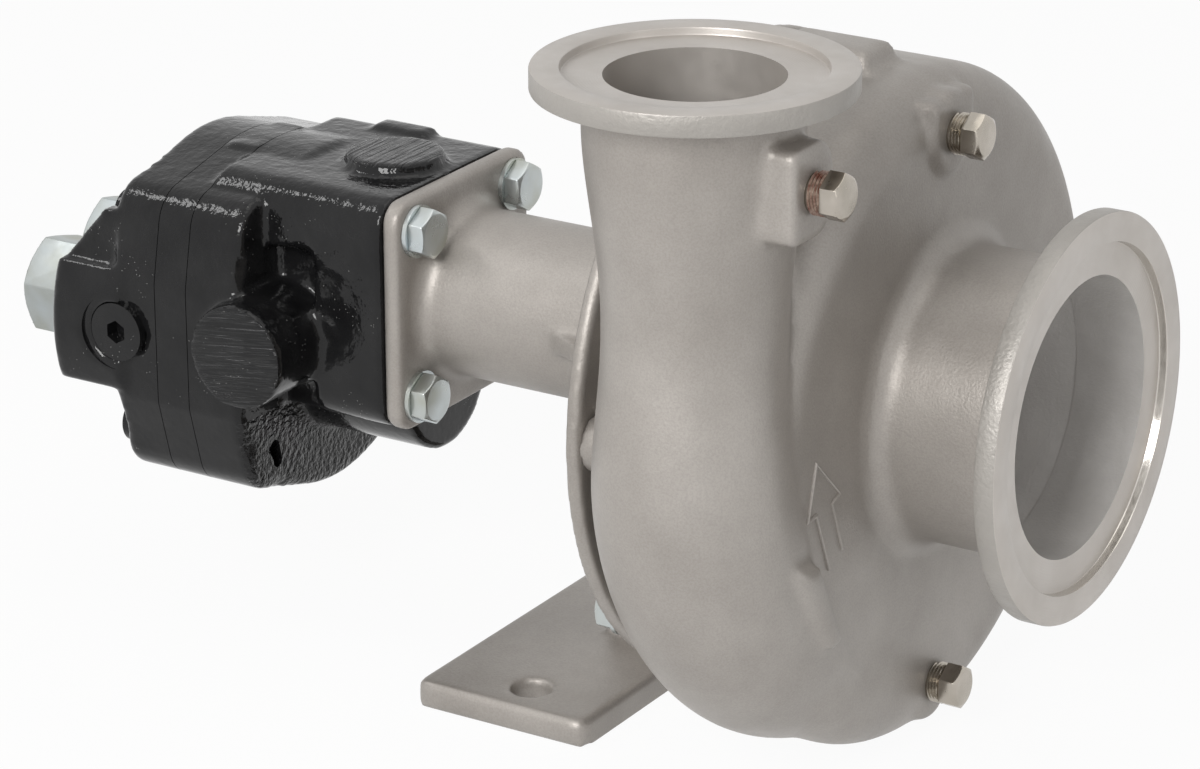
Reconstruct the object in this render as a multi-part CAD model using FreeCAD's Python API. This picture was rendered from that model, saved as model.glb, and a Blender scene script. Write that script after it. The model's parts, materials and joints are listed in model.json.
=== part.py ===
import FreeCAD, Part
import math
import os
from FreeCAD import Vector

# Everything is modelled with the shaft axis along X at Z = 0 and with X = 0 on the front face of
# the bracket's disc. The suction port looks along +X and the discharge port along +Z. On writing,
# each piece is moved so that the origin lies under the shaft, midway between the two foot holes,
# on the base plane. All sizes are in millimetres.

# Stand and foot
shaft_height = 101.0
foot_hole_x = -41.7
foot_hole_span = 93.5
foot_hole_r = 5.7
foot_front_x = -17.0
foot_rear_x = -72.0
foot_width = 119.5
foot_thickness = 8.0
foot_corner_r = 4.0
foot_edge_bevel = 1.2
web_thickness = 9.0
web_rear_x = -44.0
web_top_x = -30.0
web_front_share = 0.9
web_front_inset = 2.0

# Bracket
disc_r = 88.6
disc_thickness = 4.7
disc_hub_r = 58.0
disc_hub_thickness = 3.0
disc_edge_round = 1.0
spigot_length = 5.0
spigot_clearance = 0.05
tube_r = 24.0
tube_bore_r = 19.0
tube_flare_r = 5.0
gusset_reach = 52.0
gusset_height = 23.0
gusset_thickness = 6.0
gusset_angles_deg = (90.0, 270.0)
mount_flange_x = -92.6
mount_flange_thickness = 5.9
mount_flange_half = 33.7
mount_flange_corner_r = 7.0
mount_flange_round = 1.0
mount_bolt_half = 24.4
pilot_r = 20.5
pilot_length = 4.0
pilot_clearance = 0.05
spot_face_r = 8.2
spot_face_length = 6.0
seal_pocket_r = 17.5
seal_pocket_depth = 12.0
seal_wall = 4.0
shaft_hole_clearance = 1.0

# Pump casing
casing_back_x = 10.0
casing_front_x = 59.0
casing_wall = 5.0
drum_r = 93.2
drum_drop = 7.0
drum_edge_round = 14.0
chamber_r = 87.0
chamber_edge_round = 9.0
rear_opening_r = 64.0
rear_ring_wall = 7.0
scroll_x = 35.2
scroll_angles_deg = (180.0, 210.0, 240.0, 270.0)
scroll_section_r = (23.1, 23.6, 26.2, 26.2)
scroll_reach = (97.0, 100.9, 109.6, 115.8)
neck_x = 35.3
neck_y = -90.0
neck_heights = (35.0, 70.0)
neck_r = (23.7, 25.9)
neck_top_r = 27.0
neck_wall = 4.0
discharge_y = -90.5
discharge_bore_r = 22.8
discharge_bore_length = 20.0
discharge_face_z = 109.45
discharge_flange_r = 40.9
discharge_flange_thickness = 5.8
discharge_step_r = 33.3
discharge_step_depth = 2.2
suction_face_x = 102.5
suction_bore_r = 38.05
suction_bore_length = 20.0
suction_flange_r = 55.35
suction_flange_thickness = 5.8
suction_step_r = 47.2
suction_step_depth = 2.7
suction_taper_end = 3.0
nozzle_r = 40.3
nozzle_flare_r = 7.0
flange_back_round = 1.2
standoff_r = 8.0
standoff_circle_r = 80.5
standoff_root = 6.0
lug_half_width = 8.0
lug_top_z = 91.7
lug_front_x = 38.5
lug_round = 3.0
wedge_corners = ((-85.9, -21.4), (-74.4, -23.1), (-60.8, -49.0), (-67.7, -49.7))
wedge_face_x = 64.5
wedge_round = 1.5
plug_boss_r = 11.5
plug_boss_round = 2.5
vent_boss_draw = 0.9
drain_boss_draw = 0.35
vent_z = 71.8
vent_face_x = 61.0
drain_z = -85.2
drain_face_x = 58.8
gauge_y = -91.2
gauge_z = 83.0
gauge_face_x = 69.8
gauge_boss_half_width = 10.2
gauge_boss_half_height = 12.4
gauge_boss_corner_r = 8.0

# Pipe plugs
plug_thread_r = 5.15
plug_thread_length = 11.0
plug_neck_length = 4.0
plug_head_flats = 11.1
plug_head_length = 5.2
plug_head_bevel = 0.9
drain_hole_r = 3.2

# Hexagon bolts and washers
bevel_slope = 1.8
bolt_r = 3.97
bolt_head_flats = 12.7
bolt_head_height = 5.2
bolt_head_bevel = 0.8
bolt_hole_clearance = 0.45
bolt_grip_casing = 12.0
bolt_grip_motor = 14.0
bolt_end_gap = 1.0
washer_r = 7.5
washer_thickness = 1.3
casing_bolt_count = 4
casing_bolt_start_deg = 45.0

# Casing O-ring
o_ring_r = 1.6
o_ring_squeeze = 0.1

# Impeller
impeller_r = 60.0
shroud_thickness = 3.0
shroud_back_x = 16.5
vane_height = 24.0
vane_thickness = 3.2
vane_inner_r = 27.0
vane_count = 5
vane_angle_deg = 30.0
vane_root = 0.4
eye_r = 29.5
eye_wall = 3.2
eye_front_x = 58.0
wear_clearance = 0.4
hub_r = 13.0
hub_back_x = 10.5
hub_front_x = 34.0
hub_taper_length = 4.0
hub_taper_depth = 3.0

# Shaft
shaft_nose_r = 6.35
shaft_seat_r = 8.0
shaft_seal_r = 9.5
shaft_rear_r = 8.5
shaft_nose_length = 13.0
shaft_nose_bevel = 1.0
shaft_shoulder_inset = 1.0
shaft_rear_gap = 2.0
key_width = 4.0
key_height = 4.0
key_length = 18.0
nut_flats = 19.0
nut_height = 8.5
nut_bevel = 1.0
nut_washer_r = 11.0
nut_washer_thickness = 1.8

# Mechanical seal
seat_length = 6.0
seat_bore_gap = 0.8
seat_cup_wall = 1.5
seal_ring_r = 13.5
seal_ring_length = 4.0
seal_face_gap = 0.05
bellows_wall = 1.6
retainer_r = 14.5
retainer_wall = 0.8
retainer_length = 5.5
spring_wire_r = 0.75
spring_turns = 3
spring_steps_per_turn = 16
spring_gap = 0.2

# Slinger on the shaft inside the tube
slinger_r = 15.0
slinger_x = -32.0
slinger_width = 4.0

# Motor shell
motor_axis_drop = 29.0
body_r = 50.8
body_half_width = 47.6
body_drop = 15.8
body_edge_round = 2.0
lug_outset = 1.5
lug_r = 10.3
wide_lug_angle_deg = 315.0
wide_lug_outset = 2.0
wide_lug_r = 11.2
front_plate_front_x = -138.0
front_plate_rear_x = -155.6
gear_plate_rear_x = -166.5
cover_rear_x = -182.0
nose_half = 34.0
nose_rear_x = -122.0
nose_corner_r = 9.0
motor_top_z = 33.5
waist_half = 27.0
shoulder_bottom_z = 15.0
lobe_r = 20.0
lobe_front_x = -99.0
side_pad_r = 15.2
side_pad_y = 54.0
side_pad_x = -134.5
side_pad_z = -12.0
top_pad_r = 14.0
top_pad_x = -116.0
top_pad_height = 3.6
top_bar_front_x = -156.0
top_bar_width = 8.5
top_bar_half = 12.0
top_bar_inset = 0.3
ridge_rear_x = -139.0
ridge_length = 18.0
ridge_inner_y = 22.0
ridge_height = 1.7
ridge_round = 1.0
port_block_rear_x = -201.5
port_block_r = 51.5
port_block_top_z = 3.9
port_block_bottom_z = -32.0
port_block_round = 2.5
cover_rib_inner_y = 39.5
cover_rib_outer_y = 44.5
cover_rib_top_z = 20.0
cover_rib_foot_z = 5.0
cover_rib_crest = 4.0

# Gears, both alike
gear_teeth = 12
gear_addendum = 0.9
gear_dedendum = 1.12
gear_pressure_deg = 22.0
gear_backlash = 0.30
gear_tip_clearance = 0.06
gear_end_clearance = 0.05
bush_r = 13.5
bush_length = 12.0
bush_clearance = 0.03
dowel_r = 3.0
dowel_reach = 3.0
dowel_y = 41.0
motor_bolt_circle_r = 45.0
motor_bolt_r = 4.0
motor_bolt_head_r = 6.5
motor_bolt_head_height = 5.0
motor_bolt_outlet_r = 1.8
motor_bolt_tip_cover = 5.0
motor_bolt_hole_cover = 4.0
shaft_tunnel_clearance = 2.5

# Ball bearing and shaft lip seal in the motor's nose
bearing_width = 10.0
bearing_outer_r = 17.5
bearing_race_wall = 2.6
ball_count = 9
ball_clearance = 0.04
cage_thickness = 1.6
cage_width = 7.0
ring_wall = 1.6
ring_depth = 1.4
circlip_gap = 3.0
lip_seal_r = 18.0
lip_seal_width = 6.0
lip_clearance = 0.05
lip_seal_wall = 2.0
lip_web = 1.2
lip_land = 0.8

# Ports of the motor
adapter_flats = 27.2
adapter_turn_deg = 44.0
pressure_adapter_length = 24.5
tank_adapter_length = 32.6
adapter_thread_r = 9.4
adapter_thread_length = 12.0
adapter_bore_r = 6.0
adapter_port_r = 9.2
adapter_port_depth = 9.0
adapter_bevel = 1.5
gallery_inner_y = 8.0
port_y = 18.8
port_z = -16.5
socket_plug_x = -179.0
socket_plug_z = -14.0
socket_plug_r = 8.6
socket_plug_length = 9.0
socket_ring_r = 11.2
socket_face_y = -50.2
socket_flats = 6.0
socket_depth = 4.5
socket_plug_inset = 0.3

# Places that follow from the sizes above
spigot_r = rear_opening_r - spigot_clearance
wear_bore_r = eye_r + eye_wall + wear_clearance
motor_face_x = mount_flange_x - mount_flange_thickness
gear_module = motor_axis_drop / gear_teeth
gear_tip_r = motor_axis_drop / 2 + gear_addendum * gear_module
gear_root_r = motor_axis_drop / 2 - gear_dedendum * gear_module
lip_seal_x = motor_face_x - lip_seal_width
bearing_x = lip_seal_x - bearing_width
seat_face_x = seat_length - seal_pocket_depth + seat_cup_wall
seal_ring_x = seat_face_x + seal_face_gap
ball_circle_r = (bearing_outer_r + shaft_rear_r) / 2
ball_r = (bearing_outer_r - shaft_rear_r) / 2 - bearing_race_wall + ring_depth


def rod(r, x0, x1, y=0.0, z=0.0):
    """round bar along X"""
    return Part.makeCylinder(r, x1 - x0, Vector(x0, y, z), Vector(1, 0, 0))


def ring(r_out, r_in, x0, x1, y=0.0, z=0.0):
    """round sleeve along X"""
    return rod(r_out, x0, x1, y, z).cut(rod(r_in, x0, x1, y, z))


def block(x0, x1, y0, y1, z0, z1):
    return Part.makeBox(x1 - x0, y1 - y0, z1 - z0, Vector(x0, y0, z0))


def hexagon(flats, x0, x1, y=0.0, z=0.0, turn_deg=0.0):
    """six-sided bar along X, a corner up unless it is turned"""
    corner_r = flats / math.sqrt(3)
    corners = []
    for i in range(7):
        a = math.radians(60 * i + turn_deg)
        corners.append(Vector(x0, y + corner_r * math.sin(a), z + corner_r * math.cos(a)))
    return Part.Face(Part.makePolygon(corners)).extrude(Vector(x1 - x0, 0, 0))


def turned(outline, y=0.0, z=0.0):
    """closed outline of (x, r) points turned about the line through (y, z) along X"""
    points = [Vector(x, y, z + r) for x, r in outline]
    face = Part.Face(Part.makePolygon(points + [points[0]]))
    return face.revolve(Vector(0, y, z), Vector(1, 0, 0), 360)


def fused(first, *others):
    return first.multiFuse(list(others)).removeSplitter()


def cut_by(shape, *tools):
    return shape.cut(list(tools))


def polar(angle_deg, r, x=0.0):
    """point at an angle from straight up, clockwise as seen from the suction side"""
    a = math.radians(angle_deg)
    return Vector(x, r * math.sin(a), r * math.cos(a))


def edges_near(shape, test):
    """edges whose every sample point passes the test"""
    found = []
    for edge in shape.Edges:
        points = edge.discretize(5)
        if all(test(p) for p in points):
            found.append(edge)
    return found


def rounded(shape, r, test):
    edges = edges_near(shape, test)
    if not edges:
        raise ValueError("no edge to round at radius %.2f" % r)
    return shape.makeFillet(r, edges)


def near(value, target):
    return abs(value - target) < 1e-3


def write(name, shape):
    """moves a finished piece to the part's own origin and saves it"""
    placed = shape.copy()
    placed.translate(Vector(-foot_hole_x, 0, shaft_height))
    placed.exportStep(os.path.join("parts", name + ".step"))
    print("%-24s solids %2d  volume %9.0f  valid %s"
          % (name, len(placed.Solids), placed.Volume, placed.isValid()))


# Pump casing

def upright_circle(angle_deg, r, centre):
    """circle whose plane holds the X axis, square to the scroll's path at that angle"""
    edge = Part.Edge(Part.Circle(Vector(0, 0, 0), Vector(0, 0, 1), r))
    wire = Part.Wire(edge)
    wire.rotate(Vector(0, 0, 0), Vector(1, 0, 0), 270 - angle_deg)
    wire.translate(centre)
    return wire


def scroll_wires(wall):
    """sections of the growing scroll"""
    wires = []
    for angle, r, reach in zip(scroll_angles_deg, scroll_section_r, scroll_reach):
        wires.append(upright_circle(angle, r - wall, polar(angle, reach - r, scroll_x)))
    return wires


def neck_wires(wall):
    """sections of the straight neck between the scroll and the flange"""
    return [upright_circle(270, r - wall, Vector(neck_x, neck_y, z)) for z, r in zip(neck_heights, neck_r)]


def drum(r, x0, x1, edge_round):
    body = rod(r, x0, x1, 0, -drum_drop)
    return body.makeFillet(edge_round, [e for e in body.Edges if near(e.Length, 2 * math.pi * r)])


def boss_root_x():
    return casing_back_x + casing_wall + plug_boss_r


def plug_boss(z, face_x, away):
    """round boss for a pipe plug, drawn out towards the casing's rim by a share of its radius"""
    boss = rod(plug_boss_r, boss_root_x(), face_x, 0, z)
    z_ends = sorted([z, z + away * plug_boss_r])
    skirt = block(boss_root_x(), face_x, -plug_boss_r, plug_boss_r, z_ends[0], z_ends[1])
    return rounded(fused(boss, skirt), plug_boss_round, lambda p: near(p.x, face_x))


def gauge_boss():
    """squarish boss on the side of the neck, its inner corners well rounded"""
    inner_y = gauge_y + gauge_boss_half_width
    outer_y = gauge_y - gauge_boss_half_width
    half = gauge_boss_half_height
    boss = block(boss_root_x(), gauge_face_x, outer_y, inner_y, gauge_z - half, gauge_z + half)
    boss = rounded(boss, gauge_boss_corner_r,
                   lambda p: near(p.y, inner_y) and near(abs(p.z - gauge_z), half))
    boss = rounded(boss, plug_boss_round,
                   lambda p: near(p.y, outer_y) and near(abs(p.z - gauge_z), half))
    return rounded(boss, plug_boss_round / 2, lambda p: near(p.x, gauge_face_x))


def top_lug():
    lug = block(casing_back_x, lug_front_x, -lug_half_width, lug_half_width, chamber_r / 2, lug_top_z)
    return rounded(lug, lug_round, lambda p: near(p.z, lug_top_z))


def wedge_pad():
    """raised machined pad on the front of the casing"""
    root_x = casing_front_x - casing_wall
    corners = [Vector(root_x, y, z) for y, z in wedge_corners]
    face = Part.Face(Part.makePolygon(corners + [corners[0]]))
    pad = face.extrude(Vector(wedge_face_x - root_x, 0, 0))
    return rounded(pad, wedge_round, lambda p: near(p.x, wedge_face_x))


def suction_flange():
    back_x = suction_face_x - suction_flange_thickness
    flange = rod(suction_flange_r, back_x, suction_face_x)
    flange = rounded(flange, flange_back_round, lambda p: near(p.x, back_x))
    return flange.cut(rod(suction_step_r, suction_face_x - suction_step_depth, suction_face_x))


def suction_passage():
    """bore, taper and wear ring bore, from the flange face to the impeller"""
    outer_end = suction_face_x + 1
    bore_end = suction_face_x - suction_step_depth - suction_bore_length
    taper_end = casing_front_x + suction_taper_end
    inner_end = chamber_front_x() - 1
    return turned([(outer_end, 0), (outer_end, suction_bore_r), (bore_end, suction_bore_r),
                   (taper_end, wear_bore_r), (inner_end, wear_bore_r), (inner_end, 0)])


def chamber_front_x():
    return casing_front_x - casing_wall


def discharge_flange():
    bottom = discharge_face_z - discharge_flange_thickness
    flange = Part.makeCylinder(discharge_flange_r, discharge_flange_thickness,
                               Vector(neck_x, discharge_y, bottom))
    flange = rounded(flange, flange_back_round, lambda p: near(p.z, bottom))
    step = Part.makeCylinder(discharge_step_r, discharge_step_depth,
                             Vector(neck_x, discharge_y, discharge_face_z - discharge_step_depth))
    return flange.cut(step)


def casing_outside():
    body = drum(drum_r, casing_back_x, casing_front_x, drum_edge_round)
    nozzle_end = suction_face_x - suction_flange_thickness + 1
    body = fused(body, rod(nozzle_r, chamber_front_x(), nozzle_end))
    root = edges_near(body, lambda p: near(p.x, casing_front_x)
                      and near(math.hypot(p.y, p.z), nozzle_r))
    body = body.makeFillet(nozzle_flare_r, root)
    neck_top_z = discharge_face_z - discharge_flange_thickness / 2
    neck_top = upright_circle(270, neck_top_r, Vector(neck_x, discharge_y, neck_top_z))
    scroll = Part.makeLoft(scroll_wires(0) + neck_wires(0) + [neck_top], True)
    rear = rod(rear_opening_r + rear_ring_wall, 0, casing_back_x + 1)
    standoffs = []
    for angle in casing_bolt_angles() + [270.0]:
        spot = polar(angle, standoff_circle_r)
        standoffs.append(rod(standoff_r, 0, casing_back_x + standoff_root, spot.y, spot.z))
    bosses = [plug_boss(vent_z, vent_face_x, vent_boss_draw),
              plug_boss(drain_z, drain_face_x, -drain_boss_draw), gauge_boss()]
    return fused(body, scroll, rear, suction_flange(), discharge_flange(), top_lug(), wedge_pad(),
                 *(standoffs + bosses))


def casing_passages():
    back_x = casing_back_x + casing_wall
    chamber = drum(chamber_r, back_x, chamber_front_x(), chamber_edge_round)
    opening = rod(rear_opening_r, -1, back_x + 1)
    bore_start = discharge_face_z - discharge_step_depth - discharge_bore_length
    bore_ring = upright_circle(270, discharge_bore_r, Vector(neck_x, discharge_y, bore_start))
    scroll = Part.makeLoft(scroll_wires(casing_wall) + neck_wires(neck_wall) + [bore_ring], True)
    bore = Part.makeCylinder(discharge_bore_r, discharge_face_z - bore_start + 1,
                             Vector(neck_x, discharge_y, bore_start))
    return [chamber, opening, scroll, bore, suction_passage()]


def volute_casing():
    drills = []
    for y, z, face in plug_places():
        drills.append(rod(plug_thread_r, face - plug_thread_length + plug_neck_length, face + 1, y, z))
        drills.append(rod(drain_hole_r, chamber_front_x() - chamber_edge_round, face, y, z))
    for angle in casing_bolt_angles():
        spot = polar(angle, standoff_circle_r)
        drills.append(rod(bolt_r, -1, bolt_grip_casing, spot.y, spot.z))
    return cut_by(casing_outside(), *(casing_passages() + drills))


def plug_places():
    """pipe plugs: place across the casing and the height of the boss"""
    return [(0.0, vent_z, vent_face_x), (0.0, drain_z, drain_face_x),
            (gauge_y, gauge_z, gauge_face_x)]


def pipe_plug(y, z, face_x):
    thread_start = face_x - plug_thread_length + plug_neck_length
    head_start = face_x + plug_neck_length
    head_end = head_start + plug_head_length
    corner_r = plug_head_flats / math.sqrt(3)
    head = hexagon(plug_head_flats, head_start, head_end, y, z)
    crown = turned([(head_start, 0), (head_start, corner_r), (head_end - plug_head_bevel, corner_r),
                    (head_end, corner_r - bevel_slope * plug_head_bevel), (head_end, 0)], y, z)
    return fused(head.common(crown), rod(plug_thread_r, thread_start, head_start, y, z))


# Bracket

def casing_bolt_angles():
    return [casing_bolt_start_deg + 360.0 / casing_bolt_count * i for i in range(casing_bolt_count)]


def mount_bolt_places():
    ends = (-mount_bolt_half, mount_bolt_half)
    return [(y, z) for y in ends for z in ends]


def bracket_foot():
    bottom = -shaft_height
    top = bottom + foot_thickness
    half = foot_width / 2
    plate = block(foot_rear_x, foot_front_x, -half, half, bottom, top)
    plate = rounded(plate, foot_corner_r, lambda p: near(abs(p.y), half)
                    and (near(p.x, foot_rear_x) or near(p.x, foot_front_x)))
    plate = plate.makeChamfer(foot_edge_bevel, edges_near(plate, lambda p: near(p.z, top)))
    holes = []
    for side in (-1, 1):
        holes.append(Part.makeCylinder(foot_hole_r, foot_thickness + 2,
                                       Vector(foot_hole_x, side * foot_hole_span / 2, bottom - 1)))
    return cut_by(plate, *holes)


def bracket_web():
    """upright web behind the disc, from the tube down to the foot plate"""
    top = -shaft_height + foot_thickness
    root = top - foot_edge_bevel - 1
    back_of_disc = -disc_thickness / 2
    front_x = foot_front_x - web_front_inset
    corners = [(back_of_disc, 0.0), (web_top_x, 0.0), (web_rear_x, root), (front_x, root),
               (front_x, top), (back_of_disc, -web_front_share * disc_r)]
    points = [Vector(x, -web_thickness / 2, z) for x, z in corners]
    face = Part.Face(Part.makePolygon(points + [points[0]]))
    return face.extrude(Vector(0, web_thickness, 0))


def gusset(angle_deg):
    """triangular rib between the tube and the back of the disc"""
    inner_r = tube_r - 2
    rise = Vector(-disc_thickness / 2 - gusset_reach, 0, inner_r)
    corners = [Vector(-disc_thickness / 2, 0, inner_r), rise,
               Vector(-disc_thickness / 2, 0, tube_r + gusset_height)]
    rib = Part.Face(Part.makePolygon(corners + [corners[0]])).extrude(Vector(0, gusset_thickness, 0))
    rib.translate(Vector(0, -gusset_thickness / 2, 0))
    rib.rotate(Vector(0, 0, 0), Vector(1, 0, 0), -angle_deg)
    return rib


def mounting_bracket():
    disc = rod(disc_r, -disc_thickness, 0)
    disc = rounded(disc, disc_edge_round, lambda p: True)
    hub = rod(disc_hub_r, -disc_thickness - disc_hub_thickness, -disc_thickness / 2)
    spigot = rod(spigot_r, -1, spigot_length)
    half = mount_flange_half
    flange = block(motor_face_x, mount_flange_x, -half, half, -half, half)
    flange = rounded(flange, mount_flange_corner_r, lambda p: near(abs(p.y), half) and near(abs(p.z), half))
    flange = rounded(flange, mount_flange_round, lambda p: near(p.x, mount_flange_x))
    barrel = fused(flange, rod(tube_r, mount_flange_x - 1, -disc_thickness / 2))
    root = edges_near(barrel, lambda p: near(p.x, mount_flange_x) and near(math.hypot(p.y, p.z), tube_r))
    barrel = barrel.makeFillet(tube_flare_r, root)
    ribs = [gusset(angle) for angle in gusset_angles_deg]
    body = fused(disc, hub, spigot, barrel, bracket_foot(), bracket_web(), *ribs)
    wall_x = -seal_pocket_depth - seal_wall
    cuts = [rod(tube_bore_r, motor_face_x - 1, wall_x),
            rod(pilot_r + pilot_clearance, motor_face_x - 1, motor_face_x + pilot_length + 1),
            rod(seal_pocket_r, -seal_pocket_depth, spigot_length + 1),
            rod(shaft_seal_r + shaft_hole_clearance, wall_x - 1, 0)]
    for angle in casing_bolt_angles():
        spot = polar(angle, standoff_circle_r)
        cuts.append(rod(bolt_r + bolt_hole_clearance, -disc_thickness - 1, 1, spot.y, spot.z))
    for y, z in mount_bolt_places():
        cuts.append(rod(bolt_r + bolt_hole_clearance, motor_face_x - 1, mount_flange_x + 1, y, z))
        cuts.append(rod(spot_face_r, mount_flange_x, mount_flange_x + spot_face_length, y, z))
    groove_x = spigot_length / 2
    cuts.append(ring(spigot_r + 1, spigot_r - 2 * o_ring_r + o_ring_squeeze + spigot_clearance,
                     groove_x - o_ring_r, groove_x + o_ring_r))
    return cut_by(body, *cuts)


# Fasteners

def hex_bolt(seat_x, grip, heading, y, z):
    """hexagon bolt along X; heading is the side of seat_x that its head stands on"""
    corner_r = bolt_head_flats / math.sqrt(3)
    top = bolt_head_height
    head = hexagon(bolt_head_flats, 0, top)
    crown = turned([(0, 0), (0, corner_r), (top - bolt_head_bevel, corner_r),
                    (top, corner_r - bevel_slope * bolt_head_bevel), (top, 0)])
    bolt = fused(head.common(crown), rod(bolt_r, -grip, 0))
    if heading < 0:
        bolt.rotate(Vector(0, 0, 0), Vector(0, 0, 1), 180)
    bolt.translate(Vector(seat_x, y, z))
    return bolt


def washer(seat_x, heading, y, z):
    start, end = sorted([seat_x, seat_x + heading * washer_thickness])
    return ring(washer_r, bolt_r + bolt_hole_clearance, start, end, y, z)


def write_fasteners():
    bolts = []
    washers = []
    for angle in casing_bolt_angles():
        spot = polar(angle, standoff_circle_r)
        bolts.append(hex_bolt(-disc_thickness - washer_thickness,
                              washer_thickness + disc_thickness + bolt_grip_casing - bolt_end_gap,
                              -1, spot.y, spot.z))
        washers.append(washer(-disc_thickness, -1, spot.y, spot.z))
    write("casing_bolts", Part.makeCompound(bolts))
    write("casing_washers", Part.makeCompound(washers))
    bolts = []
    washers = []
    for y, z in mount_bolt_places():
        bolts.append(hex_bolt(mount_flange_x + washer_thickness,
                              washer_thickness + mount_flange_thickness + bolt_grip_motor - bolt_end_gap,
                              1, y, z))
        washers.append(washer(mount_flange_x, 1, y, z))
    write("flange_bolts", Part.makeCompound(bolts))
    write("flange_washers", Part.makeCompound(washers))


def casing_o_ring():
    groove_floor = spigot_r - 2 * o_ring_r + o_ring_squeeze + spigot_clearance
    middle_r = (groove_floor + rear_opening_r) / 2
    cord_r = (rear_opening_r - groove_floor) / 2
    return Part.makeTorus(middle_r, cord_r, Vector(spigot_length / 2, 0, 0), Vector(1, 0, 0))


# Impeller

def vane_point(r, side):
    """point of a backward-swept vane, side -1 or 1 for its two faces"""
    lean = math.radians(vane_angle_deg)
    sweep = math.log(r / vane_inner_r) / math.tan(lean)
    angle = sweep + side * vane_thickness / 2 / (r * math.sin(lean))
    return Vector(0, -r * math.sin(angle), r * math.cos(angle))


def vane():
    outer = impeller_r - vane_root
    middle = (vane_inner_r + outer) / 2
    inner = vane_inner_r
    faces = []
    for side in (-1, 1):
        faces.append([vane_point(inner, side), vane_point(middle, side), vane_point(outer, side)])
    one, two = faces
    edges = [Part.Arc(*one).toShape(), Part.makeLine(one[2], two[2]),
             Part.Arc(two[2], two[1], two[0]).toShape(), Part.makeLine(two[0], one[0])]
    blade = Part.Face(Part.Wire(edges)).extrude(Vector(vane_height + 2 * vane_root, 0, 0))
    blade.translate(Vector(shroud_back_x + shroud_thickness - vane_root, 0, 0))
    return blade


def impeller():
    vane_back = shroud_back_x + shroud_thickness
    vane_front = vane_back + vane_height
    front = vane_front + shroud_thickness
    back_shroud = rod(impeller_r, shroud_back_x, vane_back)
    hub = turned([(hub_back_x, 0), (hub_back_x, hub_r), (hub_front_x - hub_taper_length, hub_r),
                  (hub_front_x, hub_r - hub_taper_depth), (hub_front_x, 0)])
    front_shroud = ring(impeller_r, eye_r, vane_front, front)
    eye = ring(eye_r + eye_wall, eye_r, vane_front, eye_front_x)
    blades = []
    for i in range(vane_count):
        blade = vane()
        blade.rotate(Vector(0, 0, 0), Vector(1, 0, 0), 360.0 / vane_count * i)
        blades.append(blade)
    body = fused(back_shroud, hub, front_shroud, eye, *blades)
    keyway = block(hub_front_x - key_length, hub_front_x + 1, -key_width / 2, key_width / 2,
                   0, shaft_seat_r + key_height / 2)
    return cut_by(body, rod(shaft_seat_r, hub_back_x - 1, hub_front_x + 1), keyway)


# Shaft

def shaft_rear_end():
    return gear_plate_rear_x - bush_length + shaft_rear_gap


def drive_shaft():
    thread_end = hub_front_x + shaft_nose_length
    step_x = hub_front_x - shaft_shoulder_inset
    shoulder_x = bearing_x + bearing_width
    outline = [(shaft_rear_end(), 0), (shaft_rear_end(), shaft_rear_r), (shoulder_x, shaft_rear_r),
               (shoulder_x, shaft_seal_r), (hub_back_x, shaft_seal_r), (hub_back_x, shaft_seat_r),
               (step_x, shaft_seat_r), (step_x, shaft_nose_r),
               (thread_end - shaft_nose_bevel, shaft_nose_r), (thread_end, shaft_nose_r - shaft_nose_bevel),
               (thread_end, 0)]
    keyway = block(hub_front_x - key_length, hub_front_x, -key_width / 2, key_width / 2,
                   shaft_seat_r - key_height / 2, shaft_seat_r + 1)
    groove = ring(shaft_rear_r + 1, shaft_rear_r - ring_wall / 2, bearing_x - ring_wall, bearing_x)
    return cut_by(turned(outline), keyway, groove)


def impeller_key():
    return block(hub_front_x - key_length, hub_front_x - 1, -key_width / 2, key_width / 2,
                 shaft_seat_r - key_height / 2, shaft_seat_r + key_height / 2)


def impeller_washer():
    return ring(nut_washer_r, shaft_nose_r, hub_front_x, hub_front_x + nut_washer_thickness)


def impeller_nut():
    start = hub_front_x + nut_washer_thickness
    end = start + nut_height
    corner_r = nut_flats / math.sqrt(3)
    crown = turned([(start, 0), (start, corner_r), (end - nut_bevel, corner_r),
                    (end, corner_r - bevel_slope * nut_bevel), (end, 0)])
    return hexagon(nut_flats, start, end).common(crown).cut(rod(shaft_nose_r, start - 1, end + 1))


# Mechanical seal, from the bracket's pocket towards the impeller

def seal_seat_cup():
    floor = -seal_pocket_depth
    sleeve = ring(seal_pocket_r, seal_pocket_r - seat_cup_wall, floor, seat_face_x - seat_cup_wall)
    base = ring(seal_pocket_r, shaft_seal_r + 2 * seat_bore_gap, floor, floor + seat_cup_wall)
    return fused(sleeve, base)


def seal_seat():
    start = -seal_pocket_depth + seat_cup_wall
    return ring(seal_pocket_r - seat_cup_wall, shaft_seal_r + seat_bore_gap, start, seat_face_x)


def seal_ring():
    return ring(seal_ring_r, shaft_seal_r + seat_bore_gap / 2, seal_ring_x, seal_ring_x + seal_ring_length)


def seal_bellows():
    start = seal_ring_x + seal_ring_length
    sleeve_r = shaft_seal_r + bellows_wall
    outline = [(start, shaft_seal_r), (start, seal_ring_r), (start + bellows_wall, seal_ring_r),
               (start + 2 * bellows_wall, sleeve_r), (hub_back_x, sleeve_r), (hub_back_x, shaft_seal_r)]
    return turned(outline)


def seal_retainer():
    start = hub_back_x - retainer_length
    inner = retainer_r - retainer_wall
    cup = ring(retainer_r, shaft_seal_r + bellows_wall, start, hub_back_x)
    return cup.cut(ring(inner, 0.1, start - 1, hub_back_x - retainer_wall))


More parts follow.
